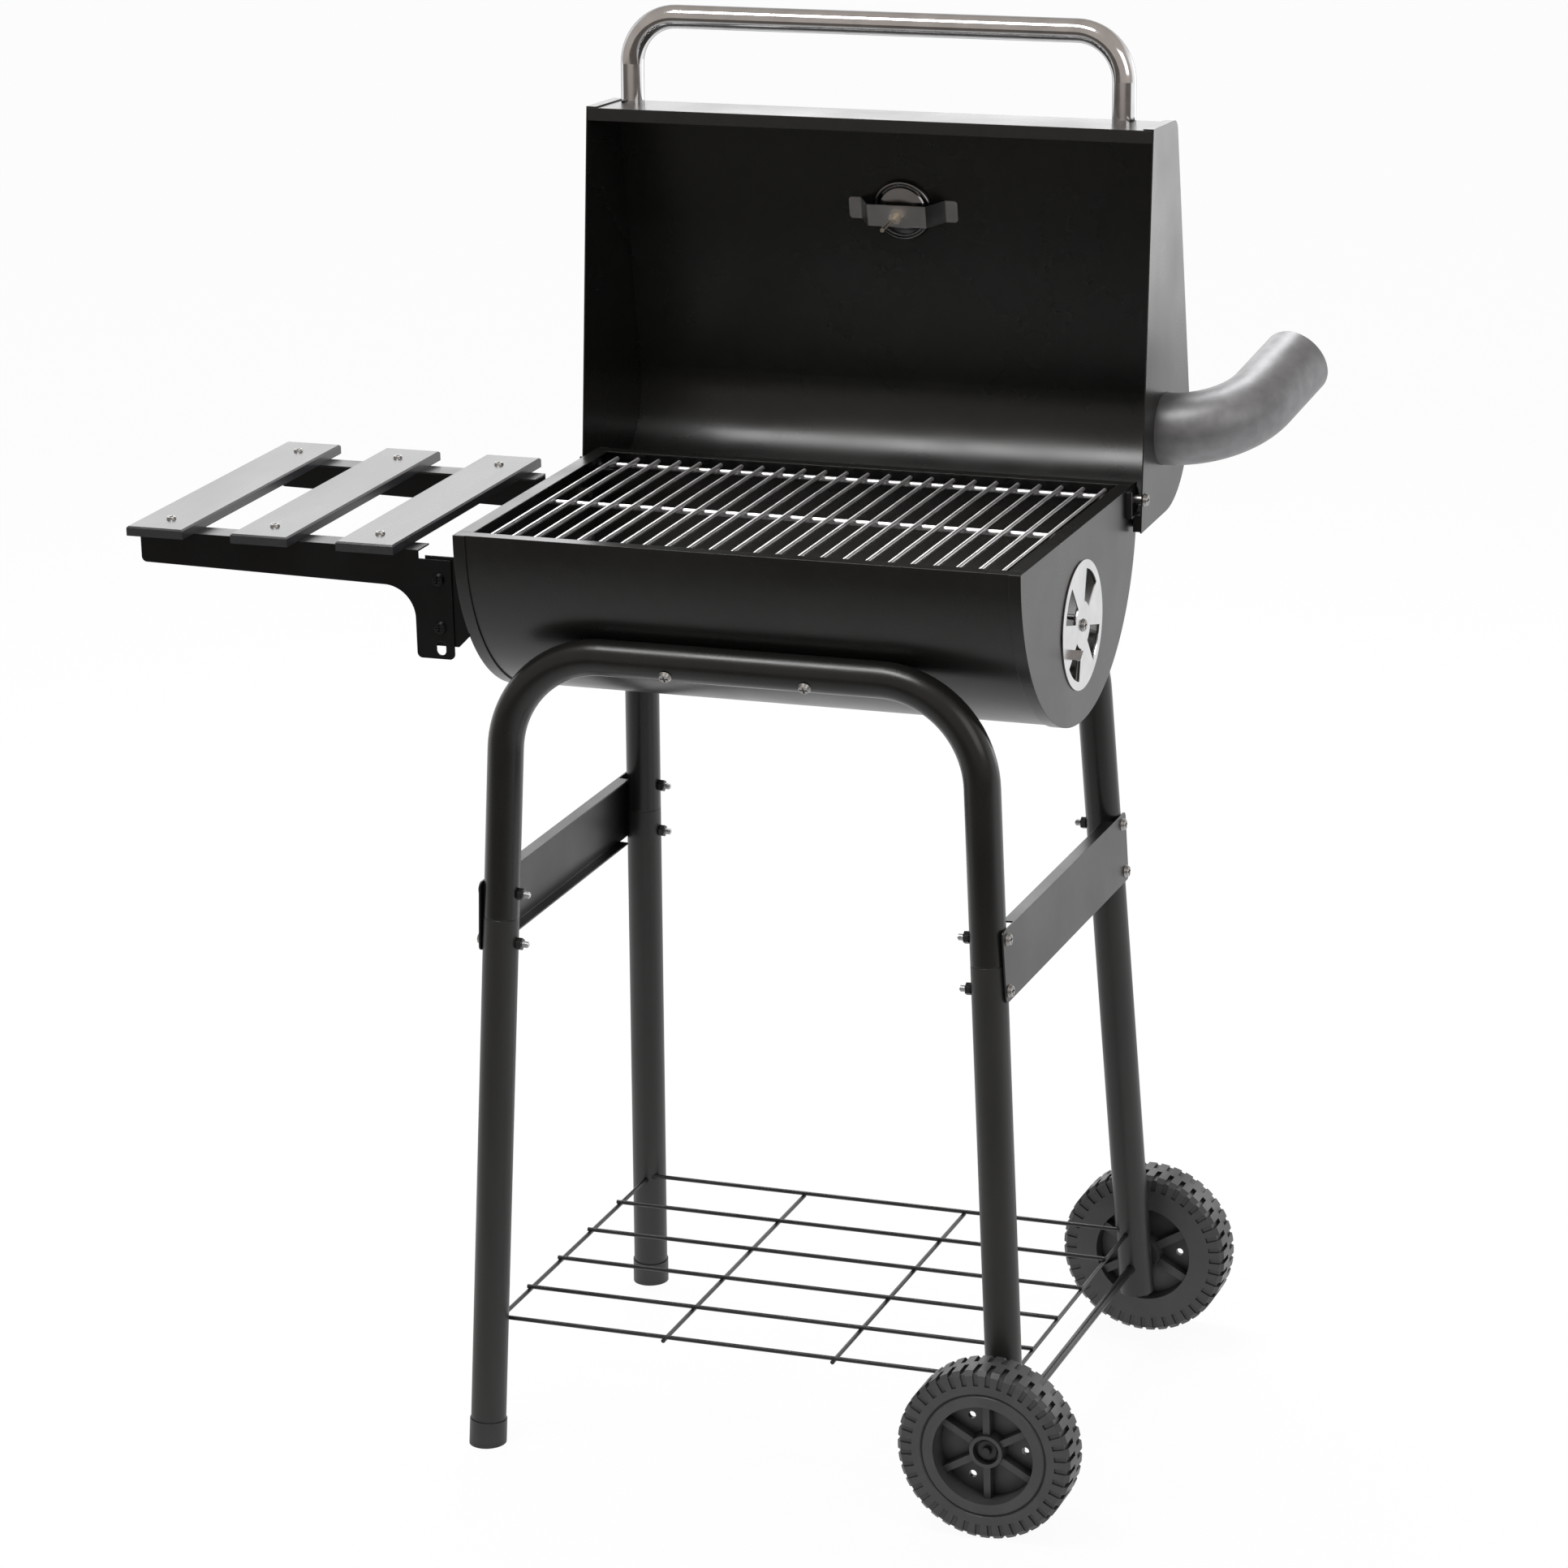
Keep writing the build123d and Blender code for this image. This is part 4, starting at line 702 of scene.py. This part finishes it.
class GRILL_OT_finish_gauge(Operator):
    """Thermometer case, clip, dial, pointer, glass and printed scale"""

    bl_idname = "grill.finish_gauge"
    bl_label = "Finish thermometer"

    def execute(self, context):
        group = settings()
        dial = group.dial
        chrome = group.plating.chrome_colour
        # Painted shade: the case's chrome is darkened for the lid around it
        coat(plated_metal("gauge_chrome", shade(chrome, CASE_PAINTED_SHADE)), ["gauge_case"])
        coat(plated_metal("clip_steel", shade(chrome, CLIP_SHADE)), ["gauge_clip"])
        coat(plated_metal("nickel", group.plating.nickel_colour), ["gauge_nut", "gauge_stem"])

        shaded_face = shade(dial.face_colour, 0.96)
        face = printed_colour("dial_face", 6 * MM, shaded_face, dial.face_colour, roughness=0.55)
        coat(face, ["gauge_dial"])
        coat(printed_colour("pointer_red", 4 * MM, *POINTER_REDS, roughness=0.4), ["gauge_pointer"])

        glass, tree, shader = new_finish("gauge_glass")
        shader.inputs["Transmission Weight"].default_value = 1.0
        shader.inputs["IOR"].default_value = GLASS_IOR
        tree.links.new(between(tree, noise(tree, 15 * MM), 0.0, 0.03), shader.inputs["Roughness"])
        coat(glass, ["gauge_lens"])

        self.print_scale(dial)
        return {"FINISHED"}

    def print_scale(self, dial):
        """Raised print on the dial: an arc, short and long strokes and figures."""
        turn = JOINTS["pointer_turn"]
        axis = Vector(turn["axis"]).normalized()
        hub = Vector(turn["pos_m"])
        outward = -axis
        points = [vertex.co - hub for vertex in NODES["gauge_dial"].data.vertices]
        top = max(point.dot(outward) for point in points)
        rim = max((point - outward * point.dot(outward)).length for point in points)
        needle_points = [vertex.co - hub for vertex in NODES["gauge_pointer"].data.vertices]
        needle = max(needle_points, key=lambda point: point.length)
        rest = (needle - outward * needle.dot(outward)).normalized()
        place = Matrix((outward.cross(rest) * -1, rest, outward)).transposed().to_4x4()
        place.translation = hub + outward * top
        sweep = math.radians(turn["range_deg"][1])

        outer = rim * SCALE_RADIUS
        strokes = [self.arc(outer, ARC_WIDTH, sweep)]
        long_stroke = self.stroke(rim * LONG_STROKE_START, outer, LONG_STROKE_WIDTH)
        short_stroke = self.stroke(rim * SHORT_STROKE_START, outer, SHORT_STROKE_WIDTH)
        for step in range(dial.steps + 1):
            numbered = step * dial.figures % dial.steps == 0
            pattern = long_stroke if numbered else short_stroke
            strokes.append(self.turned_copy(pattern, -sweep * step / dial.steps))
        for pattern in (long_stroke, short_stroke):
            bpy.data.objects.remove(pattern)
        for number in range(dial.figures + 1):
            angle = -sweep * number / dial.figures
            words = str(number * dial.figure_step)
            strokes.append(self.figure(words, rim * FIGURE_RADIUS, FIGURE_HEIGHT, angle))
        scale = join_pieces(strokes, "dial_scale")
        scale.matrix_world = place
        bpy.ops.object.transform_apply(location=True, rotation=True, scale=True)
        faded_ink = shade(dial.ink_colour, 1.6)
        cover(scale, printed_colour("dial_ink", 2 * MM, dial.ink_colour, faded_ink, roughness=0.5))
        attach(scale, "lid")

    def raise_print(self):
        """Gives the flat mesh being edited a thin, closed body."""
        bpy.ops.mesh.select_all(action="SELECT")
        bpy.ops.mesh.extrude_region_move(TRANSFORM_OT_translate={"value": (0, 0, PRINT_HEIGHT)})
        bpy.ops.mesh.select_all(action="SELECT")
        bpy.ops.mesh.normals_make_consistent(inside=False)
        bpy.ops.object.mode_set(mode="OBJECT")

    def arc(self, radius, width, sweep):
        """The arc that carries the strokes."""
        deselect()
        bpy.ops.mesh.primitive_plane_add(size=width, location=(0, radius, 0))
        bpy.ops.object.transform_apply(location=True)
        bpy.ops.object.mode_set(mode="EDIT")
        bpy.ops.mesh.select_all(action="SELECT")
        bpy.ops.mesh.delete(type="ONLY_FACE")
        bpy.ops.mesh.select_all(action="DESELECT")
        bpy.ops.object.mode_set(mode="OBJECT")
        mesh = bpy.context.object.data
        for edge in mesh.edges:
            ends = [mesh.vertices[index].co for index in edge.vertices]
            edge.select = ends[0].x > 0 and ends[1].x > 0
        bpy.ops.object.mode_set(mode="EDIT")
        bpy.ops.mesh.select_mode(type="EDGE")
        bpy.ops.mesh.select_all(action="INVERT")
        bpy.ops.mesh.delete(type="EDGE")
        bpy.ops.mesh.select_all(action="SELECT")
        bpy.ops.mesh.spin(steps=ARC_STEPS, angle=-sweep, center=(0, 0, 0), axis=(0, 0, 1))
        self.raise_print()
        return bpy.context.object

    def turned_copy(self, pattern, angle):
        """A copy of a stroke with its own mesh, turned about the dial's centre."""
        copy = copy_of(pattern)
        copy.rotation_euler.z = angle
        bpy.ops.object.transform_apply(rotation=True)
        return copy

    def stroke(self, inner, outer, width):
        """One division of the scale, at its start."""
        deselect()
        bpy.ops.mesh.primitive_plane_add(size=1, location=(0, (inner + outer) / 2, 0))
        stroke = bpy.context.object
        stroke.scale = (width, outer - inner, 1)
        bpy.ops.object.transform_apply(location=True, scale=True)
        bpy.ops.object.mode_set(mode="EDIT")
        self.raise_print()
        return stroke

    def figure(self, words, radius, height, angle):
        """One figure of the scale, upright along its radius."""
        deselect()
        bpy.ops.object.text_add()
        text = bpy.context.object
        text.data.body = words
        text.data.size = height
        text.data.align_x = "CENTER"
        text.data.align_y = "CENTER"
        text.data.resolution_u = 3
        bpy.ops.object.convert(target="MESH")
        figure = bpy.context.object
        figure.rotation_euler.z = angle
        figure.location = Matrix.Rotation(angle, 3, "Z") @ Vector((0, radius, 0))
        bpy.ops.object.transform_apply(location=True, rotation=True)
        bpy.ops.object.mode_set(mode="EDIT")
        self.raise_print()
        return figure


class GRILL_OT_mould_wheels(Operator):
    """Moulded plastic on wheels and foot caps"""

    bl_idname = "grill.mould_wheels"
    bl_label = "Mould wheels and feet"

    def execute(self, context):
        moulding = settings().moulding
        wheel = moulded_plastic("wheel_plastic", moulding.wheel_colour, WHEEL_ROUGHNESS)
        coat(wheel, ["wheel_front", "wheel_rear"])
        coat(moulded_plastic("foot_plastic", moulding.foot_colour, FOOT_ROUGHNESS), ["foot_caps"])
        return {"FINISHED"}


class GRILL_OT_paint_slats(Operator):
    """Grey paint over the grain of the slats"""

    bl_idname = "grill.paint_slats"
    bl_label = "Paint slats"

    def execute(self, context):
        colour = settings().moulding.slat_colour
        material, tree, shader = new_finish("slat_paint")
        shader.inputs["Specular IOR Level"].default_value = SLAT_SPECULAR
        grain = noise(tree, 3 * MM, 5.0, ALONG_SLAT)
        streaks = tint(tree, grain, shade(colour, 0.86), shade(colour, 1.12))
        tree.links.new(streaks, shader.inputs["Base Color"])
        sheen = between(tree, noise(tree, 60 * MM, 3.0, (1, 0.3, 1)), 0.26, 0.30)
        tree.links.new(sheen, shader.inputs["Roughness"])
        relief(tree, shader, grain, depth=0.08 * MM, strength=0.4)
        coat(material, SLAT_NODES)
        return {"FINISHED"}


class GRILL_OT_set_stage(Operator):
    """Pale floor, white surroundings, soft lamps and the camera"""

    bl_idname = "grill.set_stage"
    bl_label = "Set stage"

    def execute(self, context):
        stage = settings().stage
        context.scene.view_settings.view_transform = "Standard"
        self.surroundings(context, stage)
        self.floor(stage)
        lamps = {name: self.lamp(name, *setup) for name, setup in LAMPS.items()}
        self.flag_off([lamps[name] for name in LAMPS_OFF_HANDLE], "lid_handle")
        self.camera(context, stage)
        return {"FINISHED"}

    def flag_off(self, lamps, name):
        """Keeps lamps off one bright piece, as a flag on a stand does."""
        shaded = bpy.data.collections.new("flagged_off")
        shaded.objects.link(NODES[name])
        for entry in shaded.collection_objects:
            entry.light_linking.link_state = "EXCLUDE"
        for lamp in lamps:
            lamp.light_linking.receiver_collection = shaded

    def add_up(self, tree, first, second):
        """The sum of two ray flags, at most one."""
        add = tree.nodes.new("ShaderNodeMath")
        add.operation = "ADD"
        add.use_clamp = True
        tree.links.new(first, add.inputs[0])
        tree.links.new(second, add.inputs[1])
        return add.outputs["Value"]

    def blend_shaders(self, tree, factor, first, second):
        """The second shader where the factor is one."""
        mix = tree.nodes.new("ShaderNodeMixShader")
        tree.links.new(factor, mix.inputs["Fac"])
        tree.links.new(first, mix.inputs[1])
        tree.links.new(second, mix.inputs[2])
        return mix.outputs["Shader"]

    def surroundings(self, context, stage):
        """White to the eye, a soft fill on matt surfaces, and a dim room in front for reflections."""
        world = bpy.data.worlds.new("white_studio")
        context.scene.world = world
        world.use_nodes = True
        tree = world.node_tree
        path = tree.nodes.new("ShaderNodeLightPath")
        fill = tree.nodes["Background"]
        fill.inputs["Color"].default_value = (*WHITE, 1)
        fill.inputs["Strength"].default_value = stage.fill
        white = tree.nodes.new("ShaderNodeBackground")
        white.inputs["Color"].default_value = (*WHITE, 1)
        room = tree.nodes.new("ShaderNodeBackground")
        direction = tree.nodes.new("ShaderNodeTexCoord")
        split = tree.nodes.new("ShaderNodeSeparateXYZ")
        tree.links.new(direction.outputs["Generated"], split.inputs["Vector"])
        behind = between(tree, split.outputs["Y"], low=0.0, high=1.0, start=0.0, stop=0.35)
        below_ceiling = between(tree, split.outputs["Z"], low=1.0, high=0.0, start=0.30, stop=0.60)
        wall_share = multiply(tree, behind, below_ceiling)
        wall = tint(tree, wall_share, stage.room_colour, WHITE, start=0.0, stop=1.0)
        tree.links.new(wall, room.inputs["Color"])
        seen = self.add_up(tree, path.outputs["Is Camera Ray"], path.outputs["Is Transmission Ray"])
        surface = self.blend_shaders(tree, seen, fill.outputs["Background"], white.outputs["Background"])
        surface = self.blend_shaders(tree, path.outputs["Is Glossy Ray"], surface, room.outputs["Background"])
        tree.links.new(surface, tree.nodes["World Output"].inputs["Surface"])

    def floor(self, stage):
        """A wide pale floor that shows the shadow softly."""
        deselect()
        bpy.ops.mesh.primitive_plane_add(size=FLOOR_WIDTH, location=(0, 0, -FLOOR_DROP))
        floor = bpy.context.object
        floor.name = "studio_floor"
        material, tree, shader = new_finish("floor_white")
        shader.inputs["Base Color"].default_value = (*stage.floor_colour, 1)
        shader.inputs["Roughness"].default_value = 0.9
        shader.inputs["Specular IOR Level"].default_value = 0.0
        path = tree.nodes.new("ShaderNodeLightPath")
        glow = tree.nodes.new("ShaderNodeEmission")
        mirrored = tree.nodes.new("ShaderNodeEmission")
        place = tree.nodes.new("ShaderNodeTexCoord")
        split = tree.nodes.new("ShaderNodeSeparateXYZ")
        tree.links.new(place.outputs["Object"], split.inputs["Vector"])
        depth = between(
            tree, split.outputs["Y"], low=0.0, high=1.0, start=stage.dim_from, stop=stage.white_from,
        )
        reflected = tint(tree, depth, stage.dim_colour, WHITE, start=0.0, stop=1.0)
        tree.links.new(reflected, mirrored.inputs["Color"])
        seen = between(tree, path.outputs["Is Camera Ray"], low=0.0, high=FLOOR_GLOW, start=0.0, stop=1.0)
        surface = self.blend_shaders(tree, seen, shader.outputs["BSDF"], glow.outputs["Emission"])
        flag = self.add_up(tree, path.outputs["Is Glossy Ray"], path.outputs["Is Transmission Ray"])
        surface = self.blend_shaders(tree, flag, surface, mirrored.outputs["Emission"])
        tree.links.new(surface, tree.nodes["Material Output"].inputs["Surface"])
        floor.data.materials.append(material)

    def lamp(self, name, place, aim, size, power):
        """A soft lamp, wide and high as given, that faces its aim."""
        light = bpy.data.lights.new(name, "AREA")
        light.shape = "RECTANGLE"
        light.size, light.size_y = size
        light.energy = power
        lamp = bpy.data.objects.new(name, light)
        bpy.context.scene.collection.objects.link(lamp)
        lamp.location = place
        lamp.rotation_euler = (Vector(aim) - Vector(place)).to_track_quat("-Z", "Y").to_euler()
        return lamp

    def camera(self, context, stage):
        """The camera at the viewing angle of the settings."""
        flat = math.cos(stage.elevation)
        back = Vector((
            math.sin(stage.azimuth) * flat, -math.cos(stage.azimuth) * flat, math.sin(stage.elevation),
        ))
        right = Vector((0, 0, 1)).cross(back).normalized()
        turned = Matrix.Rotation(stage.roll, 3, back) @ right
        data = bpy.data.cameras.new("studio_camera")
        data.sensor_width = SENSOR_WIDTH
        data.lens = stage.lens
        camera = bpy.data.objects.new("studio_camera", data)
        context.scene.collection.objects.link(camera)
        pose = Matrix((turned, back.cross(turned), back)).transposed().to_4x4()
        pose.translation = Vector(stage.target) + back * stage.distance
        camera.matrix_world = pose
        context.scene.camera = camera


OPERATORS = (
    GRILL_OT_paint_shell, GRILL_OT_coat_stand, GRILL_OT_plate_grates, GRILL_OT_plate_handle,
    GRILL_OT_plate_fasteners, GRILL_OT_cut_threads, GRILL_OT_finish_gauge, GRILL_OT_mould_wheels,
    GRILL_OT_paint_slats, GRILL_OT_set_stage,
)


class GRILL_PT_finishes(Panel):
    """Buttons for every finish and the stage"""

    bl_idname = "GRILL_PT_finishes"
    bl_label = "Barrel grill"
    bl_space_type = "VIEW_3D"
    bl_region_type = "UI"
    bl_category = "Grill"

    def draw(self, context):
        for operator in OPERATORS:
            self.layout.operator(operator.bl_idname)


CLASSES = (
    PaintSettings, PlatingSettings, MouldingSettings, DialSettings, StageSettings, GrillSettings,
    *OPERATORS, GRILL_PT_finishes,
)


def register():
    for cls in CLASSES:
        bpy.utils.register_class(cls)
    bpy.types.Scene.grill = PointerProperty(type=GrillSettings)


def unregister():
    del bpy.types.Scene.grill
    for cls in reversed(CLASSES):
        bpy.utils.unregister_class(cls)


def main():
    register()
    bpy.ops.grill.paint_shell()
    bpy.ops.grill.coat_stand()
    bpy.ops.grill.plate_grates()
    bpy.ops.grill.plate_handle()
    bpy.ops.grill.plate_fasteners()
    bpy.ops.grill.cut_threads()
    bpy.ops.grill.finish_gauge()
    bpy.ops.grill.mould_wheels()
    bpy.ops.grill.paint_slats()
    bpy.ops.grill.set_stage()


if __name__ == "__main__":
    main()
